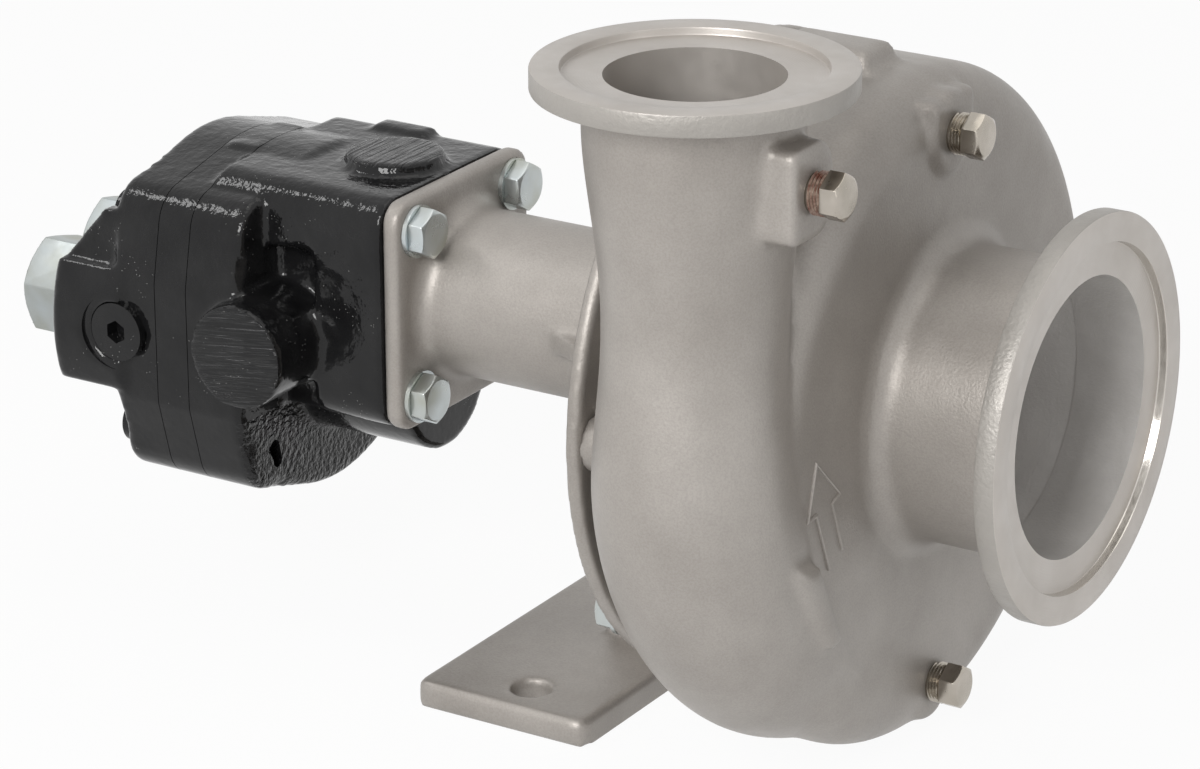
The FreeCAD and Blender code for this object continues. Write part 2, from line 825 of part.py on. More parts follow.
def seal_spring():
    """coil between the bellows lip and the retainer, six-sided in section"""
    start = seal_ring_x + seal_ring_length + 2 * bellows_wall + spring_wire_r
    end = hub_back_x - retainer_wall - spring_wire_r
    coil_r = retainer_r - retainer_wall - spring_wire_r - spring_gap
    steps = spring_turns * spring_steps_per_turn
    sections = []
    for i in range(steps + 1):
        turn = math.radians(360.0 * i / spring_steps_per_turn)
        x = start + (end - start) * i / steps
        corners = []
        for side in range(7):
            a = math.radians(60 * side)
            r = coil_r + spring_wire_r * math.cos(a)
            corners.append(Vector(x + spring_wire_r * math.sin(a), r * math.sin(turn), r * math.cos(turn)))
        sections.append(Part.makePolygon(corners))
    return Part.makeLoft(sections, True, True)


def slinger():
    return ring(slinger_r, shaft_seal_r, slinger_x, slinger_x + slinger_width)


# Motor bearing, circlip and lip seal

def bearing_middle_x():
    return bearing_x + bearing_width / 2


def ball_track():
    return Part.makeTorus(ball_circle_r, ball_r + ball_clearance, Vector(bearing_middle_x(), 0, 0),
                          Vector(1, 0, 0))


def bearing_outer_race():
    race = ring(bearing_outer_r, bearing_outer_r - bearing_race_wall, bearing_x, bearing_x + bearing_width)
    return race.cut(ball_track())


def bearing_inner_race():
    race = ring(shaft_rear_r + bearing_race_wall, shaft_rear_r, bearing_x, bearing_x + bearing_width)
    return race.cut(ball_track())


def ball_centres():
    return [polar(360.0 / ball_count * i, ball_circle_r, bearing_middle_x()) for i in range(ball_count)]


def bearing_balls():
    return Part.makeCompound([Part.makeSphere(ball_r, c) for c in ball_centres()])


def bearing_cage():
    middle = bearing_middle_x()
    cage = ring(ball_circle_r + cage_thickness / 2, ball_circle_r - cage_thickness / 2,
                middle - cage_width / 2, middle + cage_width / 2)
    pockets = [Part.makeSphere(ball_r + ball_clearance, c) for c in ball_centres()]
    return cut_by(cage, *pockets)


def shaft_circlip():
    clip = ring(shaft_rear_r + ring_wall, shaft_rear_r - ring_wall / 2, bearing_x - ring_wall, bearing_x)
    gap = block(bearing_x - ring_wall - 1, bearing_x + 1, -circlip_gap / 2, circlip_gap / 2,
                0, shaft_rear_r + 2 * ring_wall)
    return clip.cut(gap)


def lip_seal():
    lip_r = shaft_seal_r + lip_clearance
    inner_r = lip_r + lip_seal_wall
    outer_r = lip_seal_r - lip_seal_wall
    front = motor_face_x
    rear = lip_seal_x
    lip_x = front - 2 * lip_web
    return turned([(rear, lip_seal_r), (front, lip_seal_r), (front, inner_r), (front - lip_web, inner_r),
                   (lip_x, lip_r), (lip_x - lip_land, lip_r), (rear + lip_web, inner_r),
                   (rear + lip_web, outer_r), (rear, outer_r)])


# Motor shell

def body_core(x0, x1):
    """round bar with flat sides"""
    sides = block(x0, x1, -body_half_width, body_half_width, -2 * body_r, body_r)
    return rod(body_r, x0, x1, 0, -body_drop).common(sides)


def body_section(x0, x1, round_x=None):
    """the motor's outline with its four bolt lugs, its edges rounded at round_x"""
    pieces = [body_core(x0, x1)]
    for angle in motor_bolt_angles():
        wide = angle == wide_lug_angle_deg
        outset, r = (wide_lug_outset, wide_lug_r) if wide else (lug_outset, lug_r)
        spot = polar(angle, motor_bolt_circle_r + outset)
        pieces.append(rod(r, x0, x1, spot.y, spot.z - body_drop))
    if round_x is not None:
        pieces = [rounded(piece, body_edge_round, lambda p: near(p.x, round_x)) for piece in pieces]
    return fused(*pieces)


def gear_bores(r, x0, x1):
    return [rod(r, x0, x1), rod(r, x0, x1, 0, -motor_axis_drop)]


def motor_bolt_angles():
    return [45.0, 135.0, 225.0, 315.0]


def motor_bolt_places():
    places = []
    for angle in motor_bolt_angles():
        spot = polar(angle, motor_bolt_circle_r)
        places.append((spot.y, spot.z - body_drop))
    return places


def dowel_places():
    middle = -motor_axis_drop / 2
    return [(-dowel_y, middle), (dowel_y, middle)]


def motor_front_housing():
    plate = body_section(front_plate_rear_x, front_plate_front_x, front_plate_front_x)
    nose = block(front_plate_rear_x, motor_face_x, -nose_half, nose_half, -nose_half, motor_top_z)
    nose = rounded(nose, nose_corner_r, lambda p: near(abs(p.y), nose_half)
                   and (near(p.z, -nose_half) or near(p.z, motor_top_z)))
    recesses = []
    for side in (-1, 1):
        y_ends = sorted([side * waist_half, side * (nose_half + 1)])
        recesses.append(block(front_plate_rear_x - 1, nose_rear_x, y_ends[0], y_ends[1],
                              -nose_half - 1, shoulder_bottom_z))
    nose = cut_by(nose, *recesses)
    ridge = block(ridge_rear_x, ridge_rear_x + ridge_length, ridge_inner_y, nose_half - nose_corner_r / 2,
                  0, motor_top_z + ridge_height)
    ridge = rounded(ridge, ridge_round, lambda p: near(p.z, motor_top_z + ridge_height))
    lobe = rod(lobe_r, front_plate_rear_x, lobe_front_x, 0, -motor_axis_drop)
    pads = []
    for side in (-1, 1):
        pads.append(Part.makeCylinder(side_pad_r, side_pad_y, Vector(side_pad_x, 0, side_pad_z),
                                      Vector(0, side, 0)))
    top = Part.makeCylinder(top_pad_r, 2 * top_pad_height,
                            Vector(top_pad_x, 0, motor_top_z - top_pad_height))
    pilot = rod(pilot_r, motor_face_x - 1, motor_face_x + pilot_length)
    body = fused(plate, nose, lobe, top, ridge, pilot, *pads)
    cuts = [rod(lip_seal_r, lip_seal_x, motor_face_x + pilot_length + 1),
            rod(bearing_outer_r, bearing_x - ring_wall, lip_seal_x + 1),
            rod(shaft_rear_r + shaft_tunnel_clearance, front_plate_rear_x + 1, bearing_x)]
    cuts += gear_bores(bush_r, front_plate_rear_x - 1, front_plate_rear_x + bush_length)
    for y, z in mount_bolt_places():
        cuts.append(rod(bolt_r, motor_face_x - bolt_grip_motor, motor_face_x + 1, y, z))
    for y, z in motor_bolt_places():
        hole_end = front_plate_front_x - motor_bolt_hole_cover
        cuts.append(rod(motor_bolt_r, front_plate_rear_x - 1, hole_end, y, z))
        if z < -body_drop:
            cuts.append(rod(motor_bolt_outlet_r, hole_end - 1, front_plate_front_x + 1, y, z))
    for y, z in dowel_places():
        cuts.append(rod(dowel_r, front_plate_rear_x - 1, front_plate_rear_x + dowel_reach, y, z))
    return cut_by(body, *cuts)


def motor_gear_plate():
    bar = block(top_bar_front_x - top_bar_width, top_bar_front_x, -top_bar_half, top_bar_half,
                0, body_r - body_drop - top_bar_inset)
    plate = fused(body_section(gear_plate_rear_x, front_plate_rear_x), bar)
    cuts = gear_bores(gear_tip_r + gear_tip_clearance, gear_plate_rear_x - 1, front_plate_rear_x + 1)
    for side in (-1, 1):
        y_ends = sorted([side * gallery_inner_y, side * (port_y + adapter_bore_r)])
        cuts.append(block(gear_plate_rear_x - 1, front_plate_rear_x + 1, y_ends[0], y_ends[1],
                          port_z - adapter_bore_r, port_z + adapter_bore_r))
    for y, z in motor_bolt_places():
        cuts.append(rod(motor_bolt_r, gear_plate_rear_x - 1, front_plate_rear_x + 1, y, z))
    for y, z in dowel_places():
        cuts.append(rod(dowel_r, gear_plate_rear_x - 1, front_plate_rear_x + 1, y, z))
    return cut_by(plate, *cuts)


def cover_rib(side):
    """rib from the top of the port block up to a bolt lug"""
    crest_x = cover_rear_x - cover_rib_crest
    foot_x = port_block_rear_x + port_block_round
    root_x = cover_rear_x + 1
    corners = [(root_x, 0), (root_x, cover_rib_top_z), (crest_x, cover_rib_top_z),
               (foot_x, cover_rib_foot_z), (foot_x, 0)]
    points = [Vector(x, side * cover_rib_inner_y, z) for x, z in corners]
    face = Part.Face(Part.makePolygon(points + [points[0]]))
    return face.extrude(Vector(0, side * (cover_rib_outer_y - cover_rib_inner_y), 0))


def motor_rear_cover():
    cover = body_section(cover_rear_x, gear_plate_rear_x, cover_rear_x)
    root_x = cover_rear_x + body_edge_round + 2
    slab = block(port_block_rear_x, root_x, -port_block_r, port_block_r,
                 port_block_bottom_z, port_block_top_z)
    port = slab.common(rod(port_block_r, port_block_rear_x, root_x, 0, -body_drop))
    port = rounded(port, port_block_round, lambda p: near(p.x, port_block_rear_x))
    body = fused(cover, port, cover_rib(-1), cover_rib(1))
    cuts = gear_bores(bush_r, gear_plate_rear_x - bush_length, gear_plate_rear_x + 1)
    for y, z in motor_bolt_places():
        cuts.append(rod(motor_bolt_r, cover_rear_x - 1, gear_plate_rear_x + 1, y, z))
    for y, z in dowel_places():
        cuts.append(rod(dowel_r, gear_plate_rear_x - dowel_reach, gear_plate_rear_x + 1, y, z))
    for y, z in adapter_places():
        seat = port_block_rear_x
        cuts.append(rod(adapter_thread_r, seat - 1, seat + adapter_thread_length, y, z))
        cuts.append(rod(adapter_bore_r, seat, gear_plate_rear_x + 1, y, z))
    recess = Part.makeCylinder(socket_ring_r, body_r, Vector(socket_plug_x, socket_face_y, socket_plug_z),
                               Vector(0, -1, 0))
    bore = Part.makeCylinder(socket_plug_r, socket_plug_length,
                             Vector(socket_plug_x, socket_face_y, socket_plug_z), Vector(0, 1, 0))
    cuts += [recess, bore]
    return cut_by(body, *cuts)


def adapter_places():
    return [(-port_y, port_z), (port_y, port_z)]


def port_adapter(y, length):
    """hexagon adapter with an inside thread for the hose end"""
    z = port_z
    seat = port_block_rear_x
    end = seat - length
    corner_r = adapter_flats / math.sqrt(3)
    head = hexagon(adapter_flats, end, seat, y, z, adapter_turn_deg)
    crown = turned([(seat, 0), (seat, corner_r), (end + adapter_bevel, corner_r),
                    (end, corner_r - bevel_slope * adapter_bevel), (end, 0)], y, z)
    body = fused(head.common(crown), rod(adapter_thread_r, seat, seat + adapter_thread_length, y, z))
    return cut_by(body, rod(adapter_bore_r, end - 1, seat + adapter_thread_length + 1, y, z),
                  rod(adapter_port_r, end - 1, end + adapter_port_depth, y, z))


def socket_plug():
    inward = Vector(0, 1, 0)
    face_y = socket_face_y + socket_plug_inset
    plug = Part.makeCylinder(socket_plug_r, socket_plug_length - socket_plug_inset,
                             Vector(socket_plug_x, face_y, socket_plug_z), inward)
    corner_r = socket_flats / math.sqrt(3)
    corners = []
    for i in range(7):
        a = math.radians(60 * i)
        corners.append(Vector(socket_plug_x + corner_r * math.sin(a), face_y - 1,
                              socket_plug_z + corner_r * math.cos(a)))
    socket = Part.Face(Part.makePolygon(corners)).extrude(Vector(0, socket_depth + 1, 0))
    return plug.cut(socket)


# Gears

def involute_point(base_r, r, start):
    roll = math.sqrt(max((r / base_r) ** 2 - 1, 0))
    angle = start + roll - math.atan(roll)
    return Vector(0, r * math.sin(angle), r * math.cos(angle))


def gear_outline(phase):
    """closed outline of the gear, with a tooth centred at the phase angle from straight up"""
    pitch_r = motor_axis_drop / 2
    pressure = math.radians(gear_pressure_deg)
    base_r = pitch_r * math.cos(pressure)
    flank_at_pitch = math.tan(pressure) - pressure
    half_tooth = math.pi / gear_teeth / 2 - gear_backlash / 4 / pitch_r
    foot_r = max(base_r, gear_root_r)
    radii = [foot_r + (gear_tip_r - foot_r) * share for share in (0, 0.3, 0.65, 1)]
    points = []
    for i in range(gear_teeth):
        centre = phase + 2 * math.pi / gear_teeth * i
        rising = centre - half_tooth - flank_at_pitch
        points.append(Vector(0, gear_root_r * math.sin(rising), gear_root_r * math.cos(rising)))
        points += [involute_point(base_r, r, rising) for r in radii]
        falling = [mirrored(involute_point(base_r, r, rising), centre) for r in reversed(radii)]
        points += falling
        points.append(mirrored(Vector(0, gear_root_r * math.sin(rising), gear_root_r * math.cos(rising)),
                               centre))
    return points


def mirrored(point, angle):
    """point mirrored about the radial line at that angle"""
    own = math.atan2(point.y, point.z)
    r = math.hypot(point.y, point.z)
    other = 2 * angle - own
    return Vector(point.x, r * math.sin(other), r * math.cos(other))


def gear_blank(phase, z):
    points = gear_outline(phase)
    face = Part.Face(Part.makePolygon(points + [points[0]]))
    start = gear_plate_rear_x + gear_end_clearance
    length = front_plate_rear_x - gear_plate_rear_x - 2 * gear_end_clearance
    gear = face.extrude(Vector(length, 0, 0))
    gear.translate(Vector(start, 0, z))
    return gear


def drive_gear():
    return gear_blank(0.0, 0.0).cut(rod(shaft_rear_r, gear_plate_rear_x, front_plate_rear_x))


def idler_gear():
    gear = gear_blank(math.pi / gear_teeth, -motor_axis_drop)
    rear = gear_plate_rear_x - bush_length + shaft_rear_gap
    front = front_plate_rear_x + bush_length - shaft_rear_gap
    return fused(gear, rod(shaft_rear_r, rear, front, 0, -motor_axis_drop))


def bush(x0, z):
    return ring(bush_r, shaft_rear_r + bush_clearance, x0, x0 + bush_length, 0, z)


def write_motor():
    write("motor_front_housing", motor_front_housing())
    write("motor_gear_plate", motor_gear_plate())
    write("motor_rear_cover", motor_rear_cover())
    write("drive_gear", drive_gear())
    write("idler_gear", idler_gear())
    front_x = front_plate_rear_x
    write("front_bushes", Part.makeCompound([bush(front_x, 0), bush(front_x, -motor_axis_drop)]))
    rear_x = gear_plate_rear_x - bush_length
    write("rear_bushes", Part.makeCompound([bush(rear_x, 0), bush(rear_x, -motor_axis_drop)]))
    write("pressure_adapter", port_adapter(-port_y, pressure_adapter_length))
    write("tank_adapter", port_adapter(port_y, tank_adapter_length))
    write("socket_plug", socket_plug())
    bolts = []
    for y, z in motor_bolt_places():
        head = rod(motor_bolt_head_r, cover_rear_x - motor_bolt_head_height, cover_rear_x, y, z)
        tip_x = front_plate_front_x - motor_bolt_tip_cover
        bolts.append(fused(head, rod(motor_bolt_r, cover_rear_x, tip_x, y, z)))
    write("motor_bolts", Part.makeCompound(bolts))
    pins = [rod(dowel_r, gear_plate_rear_x - dowel_reach, front_plate_rear_x + dowel_reach, y, z)
            for y, z in dowel_places()]
    write("dowel_pins", Part.makeCompound(pins))


def main():
    os.makedirs("parts", exist_ok=True)
    write("volute_casing", volute_casing())
    write("vent_plug", pipe_plug(0, vent_z, vent_face_x))
    write("drain_plug", pipe_plug(0, drain_z, drain_face_x))
    write("gauge_plug", pipe_plug(gauge_y, gauge_z, gauge_face_x))
    write("casing_o_ring", casing_o_ring())
    write("mounting_bracket", mounting_bracket())
    write_fasteners()
    write("impeller", impeller())
    write("drive_shaft", drive_shaft())
    write("impeller_key", impeller_key())
    write("impeller_washer", impeller_washer())
    write("impeller_nut", impeller_nut())
    write("seal_seat_cup", seal_seat_cup())
    write("seal_seat", seal_seat())
    write("seal_ring", seal_ring())
    write("seal_bellows", seal_bellows())
    write("seal_spring", seal_spring())
    write("seal_retainer", seal_retainer())
    write("slinger", slinger())
    write("bearing_outer_race", bearing_outer_race())
    write("bearing_inner_race", bearing_inner_race())
    write("bearing_balls", bearing_balls())
    write("bearing_cage", bearing_cage())
    write("shaft_circlip", shaft_circlip())
    write("lip_seal", lip_seal())
    write_motor()


main()
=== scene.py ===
import json
import math
import bmesh
import bpy
from mathutils import Matrix, Vector, noise


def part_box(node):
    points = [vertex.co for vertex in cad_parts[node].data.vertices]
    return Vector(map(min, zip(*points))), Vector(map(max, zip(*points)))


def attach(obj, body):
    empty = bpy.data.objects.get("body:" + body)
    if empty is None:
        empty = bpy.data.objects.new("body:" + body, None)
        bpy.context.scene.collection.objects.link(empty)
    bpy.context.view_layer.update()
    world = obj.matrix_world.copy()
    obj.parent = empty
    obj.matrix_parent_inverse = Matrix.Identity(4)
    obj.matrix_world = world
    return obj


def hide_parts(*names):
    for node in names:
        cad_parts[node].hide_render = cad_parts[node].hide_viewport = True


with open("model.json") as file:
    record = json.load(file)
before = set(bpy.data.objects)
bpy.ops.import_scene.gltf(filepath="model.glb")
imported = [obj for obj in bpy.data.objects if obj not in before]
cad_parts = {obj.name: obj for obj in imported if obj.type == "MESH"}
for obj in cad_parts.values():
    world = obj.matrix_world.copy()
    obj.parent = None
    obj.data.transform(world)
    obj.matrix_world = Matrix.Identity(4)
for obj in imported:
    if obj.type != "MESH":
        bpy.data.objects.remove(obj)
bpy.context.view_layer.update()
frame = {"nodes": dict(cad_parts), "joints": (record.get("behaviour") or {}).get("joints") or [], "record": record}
nodes = frame["nodes"]
mounts = {m["name"]: m for m in frame["record"]["mounts"]}
shaftSpot = Vector(frame["joints"][0]["pos_m"])
suctionSpot = Vector(mounts["suction_port"]["pos_m"])
dischargeSpot = Vector(mounts["discharge_port"]["pos_m"])
print("frame loaded:", len(nodes), "nodes")


# Camera

cameraLook = {
    "azimuth": 31.75,  # degrees round from straight along +Y, towards +X
    "elevation": 20.84,
    "roll": -0.1,
    "eye": (0.6317, -1.0314, 0.5426),
    "focalPixels": 4651.7,
    "photoPixels": 1200,  # across the photo
    "sensor": 36.0,
    "reach": (0.05, 20),
}


def makeCamera():
    data = bpy.data.cameras.new("photoCamera")
    data.sensor_fit = "HORIZONTAL"
    data.sensor_width = cameraLook["sensor"]
    data.lens = cameraLook["focalPixels"] * cameraLook["sensor"] / cameraLook["photoPixels"]
    data.clip_start, data.clip_end = cameraLook["reach"]
    camera = bpy.data.objects.new("photoCamera", data)
    bpy.context.scene.collection.objects.link(camera)
    turn = math.radians(cameraLook["azimuth"])
    tilt = math.radians(cameraLook["elevation"])
    back = Vector((math.sin(turn) * math.cos(tilt), -math.cos(turn) * math.cos(tilt), math.sin(tilt)))
    aim = back.to_track_quat("Z", "Y")
    roll = Matrix.Rotation(math.radians(cameraLook["roll"]), 4, "Z")
    camera.matrix_world = Matrix.Translation(cameraLook["eye"]) @ aim.to_matrix().to_4x4() @ roll
    bpy.context.scene.camera = camera


makeCamera()


# Floor, backdrop and light

studio = {
    "floorSize": 8.0,
    "floorColor": (0.86, 0.86, 0.86, 1),
    "seenWhite": 0.94,  # share of the floor that is seen as plain white
    "worldStrength": 0.30,
    "worldColor": (1.0, 0.99, 0.975, 1),
}
lamps = {  # place, aim, width, height, watts, colour
    "keyBox": ((0.15, -1.6, 0.95), (0, 0, 0.1), 0.7, 0.7, 22, (1, 0.995, 0.985)),
    "leftBox": ((-1.05, -0.42, 1.25), (-0.1, 0, 0.1), 0.3, 0.3, 2.4, (1, 1, 1)),
    "topBox": ((0.1, 0.1, 1.7), (0, 0, 0.1), 1.2, 0.9, 3, (1, 0.98, 0.94)),
    "rightBox": ((1.7, -0.5, 0.6), (0, 0, 0.1), 0.5, 0.9, 2.2, (1, 1, 1)),
}


def seenShare(tree, share):
    # share of the white that a camera, a metal or a glass sees, and a matt surface doesn't
    path = tree.nodes.new("ShaderNodeLightPath")
    total = path.outputs["Is Camera Ray"]
    for ray in ("Is Glossy Ray", "Is Transmission Ray"):
        both = tree.nodes.new("ShaderNodeMath")
        both.operation = "MAXIMUM"
        tree.links.new(total, both.inputs[0])
        tree.links.new(path.outputs[ray], both.inputs[1])
        total = both.outputs[0]
    scaled = tree.nodes.new("ShaderNodeMath")
    scaled.operation = "MULTIPLY"
    scaled.inputs[1].default_value = share
    tree.links.new(total, scaled.inputs[0])
    return scaled.outputs[0]


def makeFloor():
    bm = bmesh.new()
    bmesh.ops.create_grid(bm, x_segments=1, y_segments=1, size=studio["floorSize"] / 2)
    mesh = bpy.data.meshes.new("floor")
    bm.to_mesh(mesh)
    bm.free()
    floor = bpy.data.objects.new("floor", mesh)
    bpy.context.scene.collection.objects.link(floor)
    material = bpy.data.materials.new("paleFloor")
    material.use_nodes = True
    tree = material.node_tree
    out = tree.nodes["Material Output"]
    diffuse = tree.nodes["Principled BSDF"]
    diffuse.inputs["Base Color"].default_value = studio["floorColor"]
    diffuse.inputs["Roughness"].default_value = 0.9
    diffuse.inputs["Specular IOR Level"].default_value = 0.1
    white = tree.nodes.new("ShaderNodeEmission")
    white.inputs["Strength"].default_value = 1.0
    mix = tree.nodes.new("ShaderNodeMixShader")
    tree.links.new(seenShare(tree, studio["seenWhite"]), mix.inputs[0])
    tree.links.new(diffuse.outputs[0], mix.inputs[1])
    tree.links.new(white.outputs[0], mix.inputs[2])
    tree.links.new(mix.outputs[0], out.inputs["Surface"])
    mesh.materials.append(material)


def makeWorld():
    world = bpy.data.worlds.new("studioWorld")
    bpy.context.scene.world = world
    world.use_nodes = True
    tree = world.node_tree
    light = tree.nodes["Background"]
    light.inputs["Color"].default_value = studio["worldColor"]
    light.inputs["Strength"].default_value = studio["worldStrength"]
    white = tree.nodes.new("ShaderNodeBackground")
    white.inputs["Color"].default_value = (1, 1, 1, 1)
    mix = tree.nodes.new("ShaderNodeMixShader")
    tree.links.new(seenShare(tree, 1.0), mix.inputs[0])
    tree.links.new(light.outputs[0], mix.inputs[1])
    tree.links.new(white.outputs[0], mix.inputs[2])
    tree.links.new(mix.outputs[0], tree.nodes["World Output"].inputs["Surface"])


def makeLamps():
    for name, (place, aim, width, height, watts, color) in lamps.items():
        data = bpy.data.lights.new(name, "AREA")
        data.shape = "RECTANGLE"
        data.size = width
        data.size_y = height
        data.energy = watts
        data.color = color
        lamp = bpy.data.objects.new(name, data)
        bpy.context.scene.collection.objects.link(lamp)
        lamp.location = place
        lamp.rotation_euler = (Vector(aim) - Vector(place)).to_track_quat("-Z", "Y").to_euler()


makeFloor()
makeWorld()
makeLamps()
bpy.context.scene.view_settings.view_transform = "Standard"
print("camera, floor and lights placed")


# Materials

class Painter:
    # small helper round one material's node tree
    def __init__(self, name, **finish):
        self.material = bpy.data.materials.new(name)
        self.material.use_nodes = True
        self.tree = self.material.node_tree
        self.shader = self.tree.nodes["Principled BSDF"]
        self.place = self.tree.nodes.new("ShaderNodeTexCoord").outputs["Object"]
        self.shader.inputs["Metallic"].default_value = finish.get("metal", 0.0)
        self.shader.inputs["Specular IOR Level"].default_value = finish.get("specular", 0.5)

    def link(self, source, target):
        self.tree.links.new(source, target)

    def moved(self, place=(0, 0, 0), turn=(0, 0, 0), scale=(1, 1, 1), vector=None):
        node = self.tree.nodes.new("ShaderNodeMapping")
        node.inputs["Location"].default_value = place
        node.inputs["Rotation"].default_value = turn
        node.inputs["Scale"].default_value = scale
        self.link(vector or self.place, node.inputs["Vector"])
        return node.outputs["Vector"]

    def noise(self, scale, detail=2.0, roughness=0.5, vector=None):
        node = self.tree.nodes.new("ShaderNodeTexNoise")
        node.inputs["Scale"].default_value = scale
        node.inputs["Detail"].default_value = detail
        node.inputs["Roughness"].default_value = roughness
        self.link(vector or self.place, node.inputs["Vector"])
        return node.outputs["Fac"]

    def cells(self, scale):
        node = self.tree.nodes.new("ShaderNodeTexVoronoi")
        node.inputs["Scale"].default_value = scale
        self.link(self.place, node.inputs["Vector"])
        return node.outputs["Distance"]

    def ramp(self, source, stops):
        node = self.tree.nodes.new("ShaderNodeValToRGB")
        ramp = node.color_ramp
        while len(ramp.elements) < len(stops):
            ramp.elements.new(0.5)
        for element, (spot, color) in zip(ramp.elements, stops):
            element.position = spot
            element.color = color if isinstance(color, tuple) else (color, color, color, 1)
        self.link(source, node.inputs["Fac"])
        return node.outputs["Color"]

    def math(self, kind, one, two):
        node = self.tree.nodes.new("ShaderNodeMath")
        node.operation = kind
        for socket, value in zip(node.inputs, (one, two)):
            if isinstance(value, (int, float)):
                socket.default_value = value
            else:
                self.link(value, socket)
        return node.outputs[0]

    def axis(self, name):
        node = self.tree.nodes.new("ShaderNodeSeparateXYZ")
        self.link(self.place, node.inputs[0])
        return node.outputs[name]

    def inBar(self, spot, radius, along):
        # 1 inside a round bar through spot, along X, Y or Z
        keep = [0.0 if name == along else 1.0 for name in "XYZ"]
        flat = self.moved(place=[-s * k for s, k in zip(spot, keep)], scale=keep)
        node = self.tree.nodes.new("ShaderNodeVectorMath")
        node.operation = "LENGTH"
        self.link(flat, node.inputs[0])
        return self.math("LESS_THAN", node.outputs["Value"], radius)

    def mixed(self, share, one, two):
        node = self.tree.nodes.new("ShaderNodeMix")
        node.data_type = "RGBA"
        self.link(share, node.inputs["Factor"])
        for socket, color in ((node.inputs[6], one), (node.inputs[7], two)):
            if isinstance(color, tuple):
                socket.default_value = color
            else:
                self.link(color, socket)
        return node.outputs[2]

    def bump(self, height, distance, strength=1.0, normal=None):
        node = self.tree.nodes.new("ShaderNodeBump")
        node.inputs["Distance"].default_value = distance
        node.inputs["Strength"].default_value = strength
        self.link(height, node.inputs["Height"])
        if normal:
            self.link(normal, node.inputs["Normal"])
        return node.outputs["Normal"]

    def finish(self, color=None, rough=None, normal=None):
        for source, key in ((color, "Base Color"), (rough, "Roughness"), (normal, "Normal")):
            if source:
                self.link(source, self.shader.inputs[key])
        return self.material


def tone(r, g, b, share=1.0):
    return (r * share, g * share, b * share, 1)


def twoTones(paint, field, dark, light):
    return paint.ramp(field, ((0.3, dark), (0.7, light)))


castLook = {
    "metal": 0.4,
    "dark": tone(0.312, 0.288, 0.264),
    "light": tone(0.416, 0.388, 0.361),
    "rough": (0.40, 0.50),
}


def castStainless():
    # shot-blasted investment casting: warm grey, fine grain over slow waves
    paint = Painter("castStainless", metal=castLook["metal"])
    cloud = paint.noise(18, 4, 0.6)
    color = twoTones(paint, cloud, castLook["dark"], castLook["light"])
    speck = paint.ramp(paint.noise(1700, 2, 0.7), ((0.35, 0.78), (0.6, 1.0)))
    node = paint.tree.nodes.new("ShaderNodeMix")
    node.data_type = "RGBA"
    node.blend_type = "MULTIPLY"
    node.inputs["Factor"].default_value = 0.5
    paint.link(color, node.inputs[6])
    paint.link(speck, node.inputs[7])
    low, high = castLook["rough"]
    rough = twoTones(paint, paint.noise(60, 3, 0.6), low, high)
    waves = paint.bump(paint.noise(90, 2, 0.5), 0.0006, 0.25)
    grain = paint.bump(paint.noise(1300, 2, 0.6), 0.00015, 0.55, waves)
    return paint.finish(node.outputs[2], rough, grain)


def paintedLightBore():
    # grainier metal inside the ports, its colour lightened well past the casting's: painted light falling into the
    # bores
    paint = Painter("paintedLightBore", metal=0.12)
    color = twoTones(paint, paint.noise(40, 4, 0.6), tone(0.58, 0.56, 0.54), tone(0.72, 0.70, 0.68))
    rough = twoTones(paint, paint.noise(120, 2), 0.38, 0.5)
    waves = paint.bump(paint.noise(160, 2), 0.0005, 0.35)
    return paint.finish(color, rough, paint.bump(paint.noise(1100, 2, 0.6), 0.0002, 0.6, waves))


def castRim():
    # hammered rims of the clamp flanges, as cast
    paint = Painter("castRim", metal=0.4)
    color = twoTones(paint, paint.noise(45, 4, 0.6), tone(0.33, 0.312, 0.29), tone(0.39, 0.37, 0.345))
    rough = twoTones(paint, paint.noise(150, 2), 0.40, 0.52)
    dents = paint.bump(paint.noise(800, 2, 0.5), 0.0003, 0.6)
    return paint.finish(color, rough, paint.bump(paint.noise(1400, 2, 0.6), 0.00015, 0.5, dents))


def polishedStep():
    # the burnished wall that seats the clamp gasket
    paint = Painter("polishedStep", metal=0.9)
    color = twoTones(paint, paint.noise(60, 2), tone(0.52, 0.49, 0.45), tone(0.62, 0.59, 0.55))
    rough = twoTones(paint, paint.noise(300, 2), 0.14, 0.24)
    return paint.finish(color, rough, paint.bump(paint.noise(240, 2), 0.0002, 0.3))


def machinedFace(name, spot, along, share=1.0):
    # turned face: fine rings round the port's axis through spot; share lightens its colour, and above 1 that is
    # painted light
    paint = Painter(name, metal=0.45)
    centred = paint.moved(place=(-spot.x, -spot.y, -spot.z))
    rings = paint.tree.nodes.new("ShaderNodeTexWave")
    rings.wave_type = "RINGS"
    rings.rings_direction = along
    rings.inputs["Scale"].default_value = 420
    rings.inputs["Distortion"].default_value = 0.6
    rings.inputs["Detail"].default_value = 1
    paint.link(centred, rings.inputs["Vector"])
    dark, light = tone(0.43, 0.40, 0.37, share), tone(0.50, 0.47, 0.44, share)
    color = twoTones(paint, paint.noise(40, 3), dark, light)
    rough = twoTones(paint, paint.noise(200, 2), 0.34, 0.46)
    grain = paint.bump(paint.noise(1500, 2), 0.00005, 0.4)
    return paint.finish(color, rough, paint.bump(rings.outputs["Fac"], 0.00003, 0.4, grain))


def brightStainless():
    paint = Painter("brightStainless", metal=1.0)
    color = twoTones(paint, paint.noise(90, 3), tone(0.36, 0.33, 0.28), tone(0.48, 0.44, 0.39))
    rough = twoTones(paint, paint.noise(300, 2), 0.16, 0.28)
    return paint.finish(color, rough, paint.bump(paint.noise(700, 2), 0.00003, 0.3))


